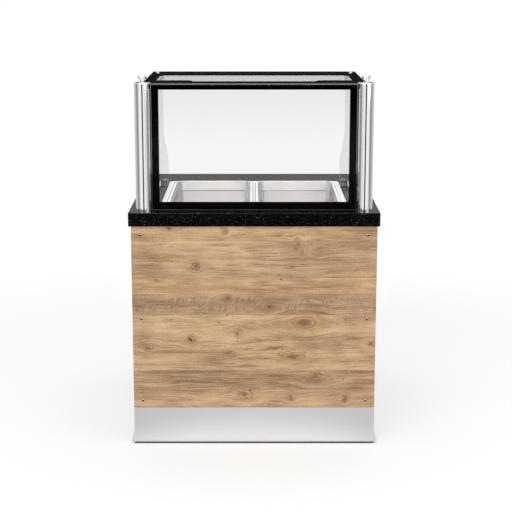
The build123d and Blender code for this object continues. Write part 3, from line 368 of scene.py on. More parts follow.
class Board(Shader):
    """A knotty board. Along is its place along the counter and up its height."""

    def __init__(self):
        super().__init__("wood", Specular_IOR_Level=0.3)
        self.along, _, self.up = self.split(self.place())

    def sheet(self, along_scale, seed, up_scale, along=None):
        """A point for a texture, stretched along and up the board and set apart by its seed."""
        along = self.product(self.along if along is None else along, along_scale)
        return self.join(along, seed, self.product(self.up, up_scale))

    def wobble(self, seed, reach):
        """A random shift of up to half of reach metres."""
        value = self.noise(self.sheet(WOBBLE_SCALE, seed, WOBBLE_SCALE))
        return self.product(self.difference(value, NOISE_MEAN), reach)

    def knots(self):
        """The height that the growth lines follow, and the knots' cores, rings and halos."""
        along = self.math("ADD", self.along, self.wobble(*WOBBLE_ALONG))
        up = self.math("ADD", self.up, self.wobble(*WOBBLE_UP))
        level, core, rings, halo = self.up, 0.0, 0.0, 0.0
        for knot_x, knot_z, radius, long, dark, ring in KNOTS:
            flat = self.join(self.math("DIVIDE", along, long), 0.0, up)
            distance = self.distance(flat, (knot_x / long, 0, knot_z))
            parted = self.step(distance, *scaled(KNOT_PARTING, radius), KNOT_PARTING_SHARE, 0.0)
            level = self.difference(level, self.product(self.difference(self.up, knot_z), parted))
            core = self.larger(core, self.step(distance, *scaled(KNOT_CORE, radius), 0.0, dark))
            halo = self.larger(halo, self.step(distance, *scaled(KNOT_HALO, radius), 0.0, dark))
            gap = self.absolute(self.difference(distance, radius * KNOT_RING))
            ring_edge = scaled(KNOT_RING_WIDTH, radius)
            ring_depth = max(ring, KNOT_RING_LEAST) * dark
            rings = self.larger(rings, self.step(gap, *ring_edge, 0.0, ring_depth))
        for pip_x, pip_z, radius in PIPS:
            distance = self.distance(self.join(along, 0.0, up), (pip_x, 0, pip_z))
            core = self.larger(core, self.step(distance, *scaled(PIP_EDGE, radius), 0.0, 1.0))
        return level, core, rings, halo

    def planks(self):
        """The plank's number, how much darker and warmer it is, and how far the next seam is."""
        point = self.join(self.product(self.along, SEAM_WAVER_SCALE), SEAM_WAVER_SEED, 0.0)
        waver = self.noise(point, detail=2)
        edge = self.math("MULTIPLY_ADD", waver, SEAM_WAVER, self.up)
        number, seam = 0.0, 1.0
        _, darker, warmth = PLANKS[0]
        for (_, dark_below, warm_below), (height, dark, warm) in zip(PLANKS, PLANKS[1:]):
            above = self.step(edge, height - SEAM_BLUR, height + SEAM_BLUR)
            number = self.math("ADD", number, self.math("GREATER_THAN", edge, height))
            darker = self.math("MULTIPLY_ADD", above, dark - dark_below, darker)
            warmth = self.math("MULTIPLY_ADD", above, warm - warm_below, warmth)
            seam = self.math("MINIMUM", seam, self.absolute(self.difference(edge, height)))
        return number, darker, warmth, seam

    def saw_marks(self):
        """Slanting marks of the saw, in patches of one row."""
        lean = self.math("MULTIPLY_ADD", self.up, SAW_LEAN, self.along)
        marks = self.step(self.noise(self.sheet(*SAW_MARKS, lean), detail=2), *SAW_MARK_EDGE)
        row = self.step(self.absolute(self.difference(self.up, SAW_ROW_HEIGHT)), *SAW_ROW_EDGE)
        patches = self.step(self.noise(self.sheet(*SAW_PATCHES), detail=1), *SAW_PATCH_EDGE)
        return self.product(marks, self.product(patches, row), SAW_SHARE)


def wood():
    """A knotty board whose growth lines run along the counter and part around its knots."""
    look = Board()
    level, core, rings, halo = look.knots()
    plank, darker, warmth, seam = look.planks()
    wander = look.noise(look.sheet(WANDER_SCALES[0], plank, WANDER_SCALES[1]), detail=2)
    level = look.math("MULTIPLY_ADD", wander, WANDER, level)
    along = look.math("MULTIPLY_ADD", plank, PLANK_SHIFT, look.along)

    def streaks(along_scale, level_scale, detail, roughness):
        point = look.join(look.product(along, along_scale), plank, look.product(level, level_scale))
        return look.noise(point, detail=detail, roughness=roughness)

    fine = streaks(*FINE)
    patch = look.noise(look.sheet(*PATCH), detail=4, roughness=LEVEL_ROUGHNESS)
    grit = look.noise(look.sheet(*GRIT), roughness=LEVEL_ROUGHNESS)
    tone = look.product(look.difference(streaks(*BROAD), NOISE_MEAN), BROAD_SHARE)
    for share, layer in (
        (MEDIUM_SHARE, streaks(*MEDIUM)),
        (FINE_SHARE, fine),
        (PATCH_SHARE, patch),
        (GRIT_SHARE, grit),
    ):
        tone = look.math("MULTIPLY_ADD", look.difference(layer, NOISE_MEAN), share, tone)
    tone = look.math("ADD", look.difference(tone, darker), MEAN_TONE, clamp=True)
    warm_plank = look.product(warmth, PLANK_WARMTH)
    warm_patch = look.difference(patch, PATCH_WARMTH)
    warm = look.math("ADD", warm_plank, warm_patch, clamp=True)
    colour = look.blend(tone, look.blend(warm, *DEEP_WOOD), look.blend(warm, *LIGHT_WOOD))

    for along_scale, level_scale, centre, half, density, depth in GROWTH_LINES:
        lines = streaks(along_scale, level_scale, *GROWTH_LINE_NOISE)
        line = look.step(look.absolute(look.difference(lines, centre)), half, 0.0)
        point = look.sheet(GROWTH_LINE_PLACES[0], plank, GROWTH_LINE_PLACES[1], along)
        shown = look.step(look.noise(point, density, detail=2), *GROWTH_LINE_SHOWN)
        colour = look.blend(look.product(line, shown, depth), colour, GROWTH_LINE_TONE)
    colour = look.blend(look.saw_marks(), colour, SAW_TONE)
    for seed, reach, rarity, share, shade in CRACKS:
        point = look.sheet(1 / reach[0], seed, 1 / reach[1])
        crack, _ = look.specks(point, 1.0, CRACK_EDGE, (rarity, rarity + CRACK_RARITY_BLUR))
        colour = look.blend(look.product(crack, share), colour, shade)
    colour = look.blend(look.step(seam, SEAM_WIDTH, 0.0, 0.0, SEAM_SHARE), colour, SEAM_TONE)
    for mark, share, shade in (
        (halo, HALO_SHARE, HALO_TONE),
        (rings, RING_SHARE, RING_TONE),
        (core, CORE_SHARE, CORE_TONE),
    ):
        colour = look.blend(look.product(mark, share), colour, shade)

    look.feed("Base Color", colour)
    look.feed("Roughness", look.math("MULTIPLY_ADD", fine, WOOD_ROUGHNESS_SPREAD, WOOD_ROUGHNESS))
    look.bump(look.difference(fine, look.product(core, CORE_HOLLOW)), WOOD_RELIEF)
    return look.material


# Metals

BRUSH_FINE = 900
BRUSH_LONG = 7
BRUSH_DIMMING = 0.90
BRUSH_ROUGHNESS_SPREAD = 0.12
BRUSH_RELIEF = 0.00006
BRUSH_RELIEF_STRENGTH = 0.5
SMEAR_SCALE = 2.2
SMEAR_ROUGHNESS = 0.06


def brushed(name, colour, along, roughness):
    """Sheet metal brushed along one axis: "x", "y" or "z"."""
    look = Shader(name, Metallic=1.0)
    stretch = [BRUSH_FINE] * 3
    stretch["xyz".index(along)] = BRUSH_LONG
    grain = look.noise(look.place(stretch))
    smear = look.noise(look.place([SMEAR_SCALE] * 3), detail=2)
    look.feed("Base Color", look.blend(grain, dimmed(colour, BRUSH_DIMMING), colour))
    smoothest = roughness - BRUSH_ROUGHNESS_SPREAD / 2
    rough = look.math("MULTIPLY_ADD", grain, BRUSH_ROUGHNESS_SPREAD, smoothest)
    look.feed("Roughness", look.math("MULTIPLY_ADD", smear, SMEAR_ROUGHNESS, rough))
    look.bump(grain, BRUSH_RELIEF, BRUSH_RELIEF_STRENGTH)
    return look.material


PAN_METAL = 0.62
PAN_SMEAR_SCALES = (14, 14, 30)
PAN_SMEAR_SHARE = 0.16
# The tones below and above the stacking ledge: painted shade below it and painted light above it.
PAN_SHADED_LOWER_TONE = srgb(235, 230, 231)
PAN_LIT_UPPER_TONE = srgb(254, 253, 253)
# Painted shade on the long walls, which is also the tone of the random smears.
PAN_WALL_SHADE_AND_SMEAR_TONE = srgb(128, 124, 126)
# Painted shade in the crease along the stacking ledge.
PAN_CREASE_SHADE_TONE = srgb(104, 100, 102)
PAN_LEDGE_DROP = 0.038
PAN_LEDGE_BLUR = (-0.0015, 0.0005)
PAN_CREASE_SHADE_WIDTH = (0.0026, 0.0014)
PAN_CREASE_SHADE_SHARE = 0.8
# Where the painted shade on the long walls starts and ends, by how far the normal points sideways,
# and how strong it is.
PAN_WALL_SHADE_NORMAL = (0.12, 0.75)
PAN_WALL_SHADE_SHARE = 0.85
PAN_ROUGHNESS = 0.27
PAN_ROUGHNESS_SPREAD = 0.08


def pan_steel():
    """Satin sheet of the pans, with painted light above the stacking ledge, painted shade below it
    and along it, and painted shade on the long walls.
    """
    look = Shader("steel_pan", Metallic=PAN_METAL)
    grain = look.noise(look.place((BRUSH_LONG, BRUSH_FINE, BRUSH_FINE)))
    smear = look.noise(look.place(PAN_SMEAR_SCALES))
    sideways = look.absolute(look.split(look.add("TexCoord").outputs["Normal"])[0])
    height = look.split(look.place())[2]
    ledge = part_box("pan_right")[1][2] - PAN_LEDGE_DROP
    # Painted light above the stacking ledge and painted shade below it.
    lit_above_ledge = look.step(height, *(ledge + blur for blur in PAN_LEDGE_BLUR))
    tone = look.blend(lit_above_ledge, PAN_SHADED_LOWER_TONE, PAN_LIT_UPPER_TONE)
    from_ledge = look.absolute(look.difference(height, ledge))
    # Painted shade in the crease along the ledge.
    crease = look.step(from_ledge, *PAN_CREASE_SHADE_WIDTH, 0.0, PAN_CREASE_SHADE_SHARE)
    tone = look.blend(crease, tone, PAN_CREASE_SHADE_TONE)
    # Painted shade on the long walls, joined with the random smears.
    shade = look.step(sideways, *PAN_WALL_SHADE_NORMAL, 0.0, PAN_WALL_SHADE_SHARE)
    shade = look.larger(shade, look.product(smear, PAN_SMEAR_SHARE))
    look.feed("Base Color", look.blend(shade, tone, PAN_WALL_SHADE_AND_SMEAR_TONE))
    look.feed("Roughness", look.math("MULTIPLY_ADD", grain, PAN_ROUGHNESS_SPREAD, PAN_ROUGHNESS))
    look.bump(grain, BRUSH_RELIEF, BRUSH_RELIEF_STRENGTH)
    return look.material


HANDLING_SCALES = (40, 40, 12)
HANDLING_EDGE = (0.3, 0.75)
HANDLING_ROUGHNESS = (0.75, 1.4)
WAVINESS_SCALE = 14
WAVINESS = 0.00008
WAVINESS_STRENGTH = 0.3


def polished(name, colour, roughness):
    """Turned or bright metal with faint handling marks."""
    look = Shader(name, Base_Color=colour, Metallic=1.0)
    marks = look.noise(look.place(HANDLING_SCALES), detail=4, roughness=0.6)
    look.feed("Roughness", look.step(marks, *HANDLING_EDGE, *scaled(HANDLING_ROUGHNESS, roughness)))
    look.bump(look.noise(look.place(), WAVINESS_SCALE, detail=2), WAVINESS, WAVINESS_STRENGTH)
    return look.material


SCREW_HEAD_RADIUS = 0.0065
# The painted shade in the screws' sockets: where it fades out, in head radii, and its tone.
SOCKET_SHADE_EDGE = (0.46, 0.60)
SOCKET_SHADE_TONE = srgb(22, 21, 20)
SCREW_RIM_TONES = (srgb(186, 187, 189), srgb(214, 214, 216))
SCREW_WEAR_SCALE = 300


def socket_steel():
    """The front panel's screws, with painted shade down in their sockets."""
    look = Shader("steel_screws", Metallic=1.0, Roughness=0.2)
    screw_low, screw_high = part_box("front_panel_screws")
    x, _, z = look.split(look.place())
    across = look.difference(look.absolute(x), screw_high[0] - SCREW_HEAD_RADIUS)
    rows = (screw_high[2] - screw_low[2]) / 2 - SCREW_HEAD_RADIUS
    up = look.absolute(look.difference(z, (screw_low[2] + screw_high[2]) / 2))
    up = look.math("MINIMUM", up, look.absolute(look.difference(up, rows)))
    off = look.distance(look.join(across, 0.0, up), (0, 0, 0))
    rim = look.blend(look.noise(look.place(), SCREW_WEAR_SCALE, detail=2), *SCREW_RIM_TONES)
    # Painted shade in the socket, and worn steel on the rim around it.
    past_socket_shade = look.step(off, *scaled(SOCKET_SHADE_EDGE, SCREW_HEAD_RADIUS))
    look.feed("Base Color", look.blend(past_socket_shade, SOCKET_SHADE_TONE, rim))
    return look.material


# Plastics, glass and print

PAINT_CLOUD_SCALE = 90
PAINT_DIMMING = 0.82
PAINT_ROUGHNESS_SPREAD = 0.1
PAINT_GRAIN_SCALE = 1400
PAINT_RELIEF = 0.0001
PAINT_RELIEF_STRENGTH = 0.4


def painted(name, colour, roughness):
    """A moulded or baked surface with a fine even texture."""
    look = Shader(name)
    cloud = look.noise(look.place(), PAINT_CLOUD_SCALE)
    look.feed("Base Color", look.blend(cloud, dimmed(colour, PAINT_DIMMING), colour))
    smoothest = roughness - PAINT_ROUGHNESS_SPREAD / 2
    look.feed("Roughness", look.math("MULTIPLY_ADD", cloud, PAINT_ROUGHNESS_SPREAD, smoothest))
    grain = look.noise(look.place(), PAINT_GRAIN_SCALE, detail=2)
    look.bump(grain, PAINT_RELIEF, PAINT_RELIEF_STRENGTH)
    return look.material


GLASS_TONE = srgb(246, 246, 244)
# Heights over which the glass's tone turns to the painted reflection.
GLASS_REFLECTION_HEIGHTS = (1.10, 1.32)
GLASS_SLANT_BLEND = 0.5
GLASS_SLANT_EDGE = (0.55, 0.95)
GROUND_EDGE_DEPTH = 0.0002
GROUND_EDGE_ROUGHNESS = 0.5
GROUND_TONES = (srgb(84, 88, 88), srgb(116, 120, 120))
FROST_SCALE = 700
GLASS_SHADOW_TINT = (0.97, 0.98, 0.975, 1)


def clear_glass(name, slant_tone, painted_reflection_tone, index=1.2, ground=None):
    """Toughened float glass, which lets the lamps through to what stands behind it, and whose tone
    turns to a painted reflection towards its top.

    Its edges are ground matt where ground gives the place of the outer ones and of the front one.
    """
    look = Shader(name, Roughness=0.0, IOR=index, Transmission_Weight=1.0)
    slant = look.add("LayerWeight", {"Blend": GLASS_SLANT_BLEND}).outputs["Facing"]
    x, y, height = look.split(look.place())
    # Towards the top the tone turns to a painted reflection.
    facing = look.blend(look.step(height, *GLASS_REFLECTION_HEIGHTS), GLASS_TONE, painted_reflection_tone)
    tone = look.blend(look.step(slant, *GLASS_SLANT_EDGE), facing, slant_tone)
    if ground:
        front = look.math("LESS_THAN", y, ground[1] + GROUND_EDGE_DEPTH)
        outer = look.math("GREATER_THAN", look.absolute(x), ground[0] - GROUND_EDGE_DEPTH)
        edge = look.larger(front, outer)
        frost = look.noise(look.place(), FROST_SCALE, detail=2)
        tone = look.blend(edge, tone, look.blend(frost, *GROUND_TONES))
        look.feed("Transmission Weight", look.difference(1.0, edge))
        look.feed("Roughness", look.product(edge, GROUND_EDGE_ROUGHNESS))
    look.feed("Base Color", tone)
    shadow = look.add("LightPath").outputs["Is Shadow Ray"]
    passing = look.add("BsdfTransparent", {"Color": GLASS_SHADOW_TINT}).outputs[0]
    look.show(look.mix(shadow, look.surface.outputs[0], passing))
    return look.material


PRINT_CLOUD_SCALE = 40
PRINT_TONES = (srgb(2, 2, 2), srgb(5, 5, 5))


def black_print():
    """The ceramic ink fired on the glass's inner side."""
    look = Shader("black_print", Roughness=0.6, Specular_IOR_Level=0.0)
    cloud = look.noise(look.place(), PRINT_CLOUD_SCALE, detail=2)
    look.feed("Base Color", look.blend(cloud, *PRINT_TONES))
    return look.material


LENS_RIB_SCALES = (900, 900, 60)
LENS_TONES = (srgb(200, 92, 12), srgb(246, 150, 30))
LENS_RELIEF = 0.0002
LENS_RELIEF_STRENGTH = 0.5


def lens_plastic():
    """The pilot lamp's clear amber lens, ribbed inside."""
    look = Shader("lamp_lens", Roughness=0.15, IOR=1.45, Transmission_Weight=0.35)
    ribs = look.noise(look.place(LENS_RIB_SCALES), detail=1)
    look.feed("Base Color", look.blend(ribs, *LENS_TONES))
    look.bump(ribs, LENS_RELIEF, LENS_RELIEF_STRENGTH)
    return look.material


# The finish of each material slot, and of the nodes that have one of their own

LOOKS = {
    "granite": granite(),
    "wood": wood(),
    "steel_brushed": brushed("steel_brushed", srgb(222, 221, 222), "x", 0.34),
    "steel_frame": brushed("steel_frame", srgb(196, 196, 198), "z", 0.42),
    "steel_pan": pan_steel(),
    "steel_bright": polished("steel_bright", srgb(224, 222, 221), 0.18),
    "chrome": polished("chrome", srgb(238, 238, 240), 0.10),
    # The glass's second tone is its painted reflection towards the top.
    "glass": clear_glass("glass", srgb(176, 182, 182), srgb(236, 237, 234)),
    "black_print": black_print(),
    "heater": brushed("heater", srgb(120, 112, 108), "y", 0.45),
    "brass": polished("brass", srgb(206, 170, 104), 0.24),
    "nylon": painted("nylon", srgb(226, 224, 216), 0.45),
    "black_plastic": painted("black_plastic", srgb(30, 30, 32), 0.42),
    "red_plastic": painted("red_plastic", srgb(196, 30, 24), 0.3),
    "lamp_lens": lens_plastic(),
    "white_ceramic": painted("white_ceramic", srgb(236, 234, 228), 0.25),
}
ROOF_INDEX = 1.08
# The roof glass's tone at a slant, and its painted reflection tone.
ROOF_TONES = (srgb(250, 251, 250), srgb(252, 253, 252))
roof_low, roof_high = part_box("top_glass")
roof_edges = (roof_high[0], roof_low[1])
upright = brushed("steel_brushed_upright", srgb(220, 219, 220), "z", 0.34)
OWN_FINISH = {
    "side_panels": upright,
    "door_right": upright,
    "door_left": upright,
    "top_glass": clear_glass("roof_glass", *ROOF_TONES, ROOF_INDEX, roof_edges),
    # The kick plate's steel: a brighter copy of the brushed steel, painted light.
    "kick_plate": brushed("steel_kick_lit", srgb(247, 245, 247), "x", 0.33),
    "front_panel_screws": socket_steel(),
    "base_clamps": polished("chrome_shaded", srgb(150, 150, 153), 0.07),
}

for part in frame["record"]["subparts"]:
    mesh = nodes[part["node"]].data
    mesh.materials.clear()
    mesh.materials.append(OWN_FINISH.get(part["node"], LOOKS[part["material_slot"]]))


# Softened edges

ARRIS_ROUNDING = 0.0012
ARRIS_SEGMENTS = 2
SHARP_ANGLE = math.radians(40)
WELD_REACH = 0.00001


def soften(node, width):
    """Rounds the sharp edges of a CAD node by width, as its maker breaks them."""
    part = nodes[node]
    weld = part.modifiers.new("weld", "WELD")
    weld.merge_threshold = WELD_REACH
    bevel = part.modifiers.new("bevel", "BEVEL")
    bevel.width = width
    bevel.segments = ARRIS_SEGMENTS
    bevel.limit_method = "ANGLE"
    bevel.angle_limit = SHARP_ANGLE
    bevel.harden_normals = True


soften("worktop", ARRIS_ROUNDING)


# Pieces added to the frame


def piece(name, data, body, finish):
    """A new object of the counter that moves with one of its bodies."""
    made = bpy.data.objects.new(name, data)
    bpy.context.scene.collection.objects.link(made)
    data.materials.append(finish)
    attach(made, body)
    return made


BEAD_RESOLUTION = 3


def bead(name, path, radius, body, finish, closed):
    """A round bead along a path of points. It has flat ends unless it is closed."""
    curve = bpy.data.curves.new(name, "CURVE")
    curve.dimensions = "3D"
    curve.bevel_depth = radius
    curve.bevel_resolution = BEAD_RESOLUTION
    curve.use_fill_caps = not closed
    spline = curve.splines.new("POLY")
    spline.points.add(len(path) - 1)
    for point, place in zip(spline.points, path):
        point.co = (*place, 1)
    spline.use_cyclic_u = closed
    piece(name, curve, body, finish)


PAN_RIM = 0.012
PAN_SHEET = 0.001
PAN_RIM_CORNER = 0.044
PAN_CORNER = 0.034
PAN_CORNER_STEPS = 8
LIP_RADIUS = 0.0012
LIP_SINK = 0.4


def rounded_path(centre, half_x, half_y, corner):
    """Points around a rectangle with round corners."""
    path = []
    for quarter in range(4):
        for i in range(PAN_CORNER_STEPS + 1):
            turn = math.radians(90 * (quarter + i / PAN_CORNER_STEPS))
            sign_x = 1 if quarter in (0, 3) else -1
            sign_y = 1 if quarter in (0, 1) else -1
            x = centre[0] + sign_x * (half_x - corner) + corner * math.cos(turn)
            y = centre[1] + sign_y * (half_y - corner) + corner * math.sin(turn)
            path.append((x, y, centre[2]))
    return path


def pan_lips(body):
    """The rolled inner and outer lips of a pan's rim, as one bright round-edged bead each."""
    low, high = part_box(body)
    centre = ((low[0] + high[0]) / 2, (low[1] + high[1]) / 2, high[2] - LIP_RADIUS * LIP_SINK)
    half_x, half_y = (high[0] - low[0]) / 2, (high[1] - low[1]) / 2
    for name, inset, corner in (
        ("outer", LIP_RADIUS, PAN_RIM_CORNER),
        ("inner", PAN_RIM + PAN_SHEET / 2, PAN_CORNER),
    ):
        path = rounded_path(centre, half_x - inset, half_y - inset, corner)
        bead(f"{body}_{name}_lip", path, LIP_RADIUS, body, LOOKS["steel_bright"], closed=True)


SEAL_RADIUS = 0.0013
SEAL_END_GAP = 0.004
SEAL_SINK = 0.4
SEAL_LIFT = 0.3


def front_glass_seal():
    """The thin black bead of silicone along the foot of the front glass."""
    low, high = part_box("front_glass")
    y, z = low[1] - SEAL_RADIUS * SEAL_SINK, low[2] + SEAL_RADIUS * SEAL_LIFT
    path = [(x, y, z) for x in (low[0] + SEAL_END_GAP, high[0] - SEAL_END_GAP)]
    bead("front_glass_seal", path, SEAL_RADIUS, "cabinet", LOOKS["black_plastic"], closed=False)


DIAL_TURN = 270
DIAL_TICKS = 9
DIAL_NUMBERS = ("0", "30", "60", "90")
TICKS_PER_NUMBER = DIAL_TICKS // (len(DIAL_NUMBERS) - 1)
TICK_START = 0.0285
TICK_LENGTH = 0.0035
LONG_TICK_LENGTH = TICK_LENGTH * 1.5
TICK_HALF_WIDTH = 0.00045
NUMBER_REACH = 0.0385
NUMBER_SIZE = 0.0085
MARK_LIFT = 0.00008
SWITCH_MARK_GAP = 0.0235
INDEX_WIDTH = 0.0014
INDEX_REACH = (0.004, 0.0190)
INK_CLOUD_SCALE = 500
INK_TONES = (srgb(28, 28, 30), srgb(46, 46, 48))


def ink():
    """The etched and darkened marks on the fascia."""
    look = Shader("mark_ink", Specular_IOR_Level=0.3, Roughness=0.5)
    cloud = look.noise(look.place(), INK_CLOUD_SCALE, detail=2)
    look.feed("Base Color", look.blend(cloud, *INK_TONES))
    return look.material


def raised_marks(name, outlines):
    """A mesh of flat marks with these outlines, raised by MARK_LIFT towards the service side."""
    form = bmesh.new()
    for outline in outlines:
        face = form.faces.new([form.verts.new(corner) for corner in outline])
        lifted = bmesh.ops.extrude_face_region(form, geom=[face])["geom"]
        corners = [item for item in lifted if isinstance(item, bmesh.types.BMVert)]
        bmesh.ops.translate(form, verts=corners, vec=(0, MARK_LIFT, 0))
    bmesh.ops.recalc_face_normals(form, faces=form.faces)
    mesh = bpy.data.meshes.new(name)
    form.to_mesh(mesh)
    form.free()
    return mesh


def fascia_text(name, words, x, z, face_y, finish):
    """A number or sign on the fascia, upright as seen from the service side."""
    text = bpy.data.curves.new(name, "FONT")
    text.body = words
    text.size = NUMBER_SIZE
    text.align_x = text.align_y = "CENTER"
    text.extrude = MARK_LIFT
    made = bpy.data.objects.new(name, text)
    bpy.context.scene.collection.objects.link(made)
    made.location = (x, face_y + MARK_LIFT / 2, z)
    made.rotation_euler = (math.radians(90), 0, math.radians(180))
    text.materials.append(finish)
    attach(made, "cabinet")


def fascia_marks():
    """The thermostat's dial of ticks and temperatures, and the signs of the switch."""
    finish = ink()
    low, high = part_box("thermostat_knob")
    centre_x, centre_z = (low[0] + high[0]) / 2, (low[2] + high[2]) / 2
    face_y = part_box("control_fascia")[1][1]
    ticks = []
    for i in range(DIAL_TICKS + 1):
        turn = math.radians(DIAL_TURN * i / DIAL_TICKS)
        long = TICK_LENGTH if i % TICKS_PER_NUMBER else LONG_TICK_LENGTH
        out = Vector((-math.sin(turn), 0, math.cos(turn)))
        side = Vector((-math.cos(turn), 0, -math.sin(turn))) * TICK_HALF_WIDTH
        start = Vector((centre_x, face_y, centre_z)) + out * TICK_START
        reach = out * long
        ticks.append([start - side, start + side, start + side + reach, start - side + reach])
    piece("dial_ticks", raised_marks("dial_ticks", ticks), "cabinet", finish)
    for i, words in enumerate(DIAL_NUMBERS):
        turn = math.radians(DIAL_TURN * i / (len(DIAL_NUMBERS) - 1))
        x, z = centre_x - NUMBER_REACH * math.sin(turn), centre_z + NUMBER_REACH * math.cos(turn)
        fascia_text(f"dial_number_{words}", words, x, z, face_y, finish)
    low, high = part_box("rocker")
    centre_x = (low[0] + high[0]) / 2
    for name, words, side in (("switch_on", "I", 1), ("switch_off", "O", -1)):
        fascia_text(name, words, centre_x, centre_z + side * SWITCH_MARK_GAP, face_y, finish)


def knob_index():
    """The white line painted on the knob's pointer rib."""
    low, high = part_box("thermostat_knob")
    centre_x, centre_z = (low[0] + high[0]) / 2, (low[2] + high[2]) / 2
    start, end = INDEX_REACH
    line = [
        (centre_x + side * INDEX_WIDTH / 2, high[1], centre_z + along)
        for side, along in ((-1, start), (1, start), (1, end), (-1, end))
    ]
    finish = painted("index_paint", srgb(238, 238, 234), 0.4)
    piece("knob_index", raised_marks("knob_index", [line]), "thermostat_knob", finish)


front_glass_seal()
for pan in ("pan_right", "pan_left"):
    pan_lips(pan)
fascia_marks()
knob_index()


# Stage

FLOOR_RADIUS = 7.0
FLOOR_SEGMENTS = 96
FLOOR_DROP = 0.0005
FLOOR_TONE = (0.58, 0.58, 0.58, 1)
FLOOR_FADE = (1.3, 2.6)
# The floor's own glow begins around these distances from the sides and ends of the counter's box.
FLOOR_GLOW = 0.42
FLOOR_GLOW_SIDES = (-0.012, 0.012)
FLOOR_GLOW_ENDS = (-0.014, 0.006)
FLOOR_DIM = (0.50, 0.80)
FLOOR_DIM_DEPTH = 0.42
# The painted shadow line at the kick plate's foot: its reach from the plate, and how sharp its ends
# are.
FOOT_SHADOW_REACH = (0.016, 0.001)
FOOT_SHADOW_END = 0.002
FOOT_SHADOW_TONE = (0.01, 0.01, 0.01, 1)


def floor_material():
    """Near the counter the floor takes its shadow, with a painted shadow line along the kick
    plate's foot, and further out it fades to white.

    In metal it is darker away from the counter, and its far part leaves the tent to be seen.
    """
    look = Shader("floor", Roughness=1.0, Specular_IOR_Level=0.0)
    x, y, _ = look.split(look.place())
    squares = look.math("POWER", x, 2.0), look.math("POWER", y, 2.0)
    away = look.math("SQRT", look.math("ADD", *squares))
    x_size, y_size = look.absolute(x), look.absolute(y)

    def emission(strength):
        return look.add("Emission", {"Strength": strength}).outputs[0]

    kick_low, kick_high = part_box("kick_plate")
    # A painted shadow line on the floor along the kick plate's foot.
    from_plate = look.absolute(look.difference(y, kick_low[1]))
    along_plate = look.step(x_size, kick_high[0] + FOOT_SHADOW_END, kick_high[0] - FOOT_SHADOW_END)
    painted_foot_shadow = look.product(look.step(from_plate, *FOOT_SHADOW_REACH), along_plate)
    look.feed("Base Color", look.blend(painted_foot_shadow, FLOOR_TONE, FOOT_SHADOW_TONE))

    beside = look.step(x_size, *(cad_high[0] + edge for edge in FLOOR_GLOW_SIDES))
    beyond = look.step(y_size, *(cad_high[1] + edge for edge in FLOOR_GLOW_ENDS))
    glow = emission(look.product(look.larger(beside, beyond), FLOOR_GLOW))
    near = look.add("AddShader", enumerate((look.surface.outputs[0], glow))).outputs[0]

    mirrored = look.add("LightPath").outputs["Is Glossy Ray"]
    dim = look.product(look.step(away, *FLOOR_DIM, 0.0, FLOOR_DIM_DEPTH), mirrored)
    far = look.mix(mirrored, emission(1.0), look.add("BsdfTransparent").outputs[0])
    look.show(look.mix(look.step(away, *FLOOR_FADE), look.mix(dim, near, emission(0.0)), far))
    return look.material


def round_floor():
    """A disc of floor, which is no piece of the counter."""
    form = bmesh.new()
    bmesh.ops.create_circle(form, cap_ends=True, segments=FLOOR_SEGMENTS, radius=FLOOR_RADIUS)
    mesh = bpy.data.meshes.new("floor")
    form.to_mesh(mesh)
    form.free()
    floor = bpy.data.objects.new("floor", mesh)
    bpy.context.scene.collection.objects.link(floor)
    floor.location.z = cad_low[2] - FLOOR_DROP
    mesh.materials.append(floor_material())


# Light

# The tent in metal. Its edges are parts of a direction of length 1, and front is to the camera.
TENT_LEVEL = 0.98
SOFT_LEVEL = 0.72
# Dark flags at the sides.
FLAG_DEPTH = 0.66
FLAG_FRONT_EDGE = (0.72, 0.45)
FLAG_MIDDLE = (-0.30, 0.10, 0.55, 1.0)
FLAG_BACK_EDGE = (-0.97, -0.75)
FLAG_HEIGHT = (0.75, 0.45)
# The dark place of the camera.
HOLE_DEPTH = 0.97
HOLE_SIDE = (0.17, 0.13)
HOLE_FRONT = (0.8, 0.86)
HOLE_HEIGHT = (0.5, 0.4)
# A dark band low behind the counter.
SKIRT_FOOT = (0.01, 0.04)
SKIRT_MIDDLE = (0.15, 0.11, 0.65, 0.97)
SKIRT_TOP = (0.26, 0.21)
SKIRT_BACK = (0.6, 0.8)


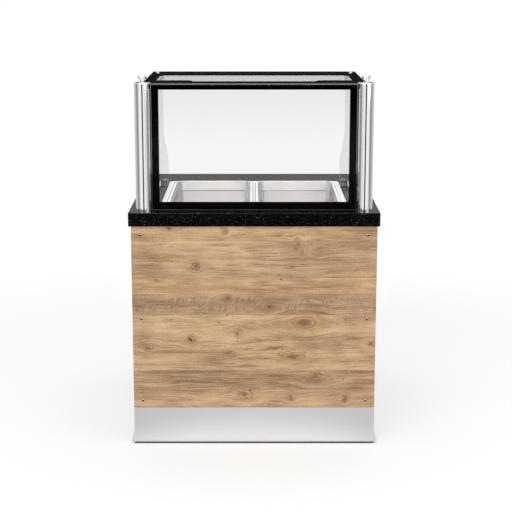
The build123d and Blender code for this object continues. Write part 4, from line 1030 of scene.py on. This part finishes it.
def studio():
    """White for the camera and through the glass, soft grey on matt things, and a tent in metal."""
    world = bpy.data.worlds.new("studio")
    bpy.context.scene.world = world
    world.use_nodes = True
    sky = Nodes(world.node_tree)
    x, y, z = sky.split(sky.add("TexCoord").outputs["Generated"])
    side, front, height = sky.absolute(x), sky.product(y, -1.0), sky.absolute(z)

    flags = sky.product(
        sky.step(front, *FLAG_FRONT_EDGE),
        sky.step(front, *FLAG_MIDDLE),
        sky.step(front, *FLAG_BACK_EDGE),
        FLAG_DEPTH,
        sky.step(height, *FLAG_HEIGHT),
    )
    hole = sky.product(
        sky.step(side, *HOLE_SIDE),
        sky.step(front, *HOLE_FRONT),
        sky.step(height, *HOLE_HEIGHT),
        HOLE_DEPTH,
    )
    skirt = sky.product(
        sky.step(z, *SKIRT_FOOT),
        sky.step(z, *SKIRT_MIDDLE),
        sky.step(z, *SKIRT_TOP),
        sky.step(y, *SKIRT_BACK),
    )
    shade = sky.larger(sky.larger(flags, hole), skirt)

    light = sky.add("LightPath").outputs
    mirrored = sky.product(sky.difference(1.0, shade), TENT_LEVEL)
    change = sky.difference(mirrored, SOFT_LEVEL)
    strength = sky.math("MULTIPLY_ADD", light["Is Glossy Ray"], change, SOFT_LEVEL)
    seen = sky.larger(light["Is Camera Ray"], light["Is Transmission Ray"])
    strength = sky.math("MULTIPLY_ADD", seen, sky.difference(1.0, strength), strength)
    background = sky.add("Background", {"Color": (1, 1, 1, 1), "Strength": strength})
    sky.add("OutputWorld", {"Surface": background.outputs[0]})


def lamp(name, place, target, size, power, height=None, spread=180, mirrored=True):
    """A square lamp, or an oblong one where height is given, aimed at target."""
    light = bpy.data.lights.new(name, "AREA")
    light.spread = math.radians(spread)
    light.shape = "RECTANGLE"
    light.size = size
    light.size_y = height or size
    light.energy = power
    holder = bpy.data.objects.new(name, light)
    bpy.context.scene.collection.objects.link(holder)
    holder.location = place
    holder.rotation_euler = (Vector(target) - Vector(place)).to_track_quat("-Z", "Y").to_euler()
    holder.visible_glossy = mirrored


# Camera

CAMERA_PLACE = (0.0, -4.625, 1.747)
CAMERA_PITCH = 10.701
CAMERA_LENS = 83.12
CAMERA_SENSOR = 36
CAMERA_SHIFT = (0.0036, -0.12)
CAMERA_REACH = 100


def camera():
    eye = bpy.data.cameras.new("camera")
    eye.lens = CAMERA_LENS
    eye.sensor_width = CAMERA_SENSOR
    eye.shift_x, eye.shift_y = CAMERA_SHIFT
    eye.clip_end = CAMERA_REACH
    holder = bpy.data.objects.new("camera", eye)
    bpy.context.scene.collection.objects.link(holder)
    holder.location = CAMERA_PLACE
    holder.rotation_euler = (math.radians(90 - CAMERA_PITCH), 0, 0)
    bpy.context.scene.camera = holder


COUNTER_MIDDLE = (0, 0, 0.7)
WORKTOP_MIDDLE = (0, 0, 0.8)
PANS_MIDDLE = (0, 0.2, 0.86)

round_floor()
studio()
lamp("key", (-1.6, -3.2, 3.4), COUNTER_MIDDLE, size=2.6, power=42)
lamp("fill", (2.6, -2.4, 2.0), COUNTER_MIDDLE, size=2.2, power=20)
lamp("top", (0, 0.4, 4.2), WORKTOP_MIDDLE, size=2.4, power=30)
pans_strip = {"size": 0.8, "height": 0.1, "spread": 12, "mirrored": False}
lamp("pans", (0, -2.3, 1.9), PANS_MIDDLE, power=7.5, **pans_strip)
camera()
bpy.context.scene.view_settings.view_transform = "Standard"
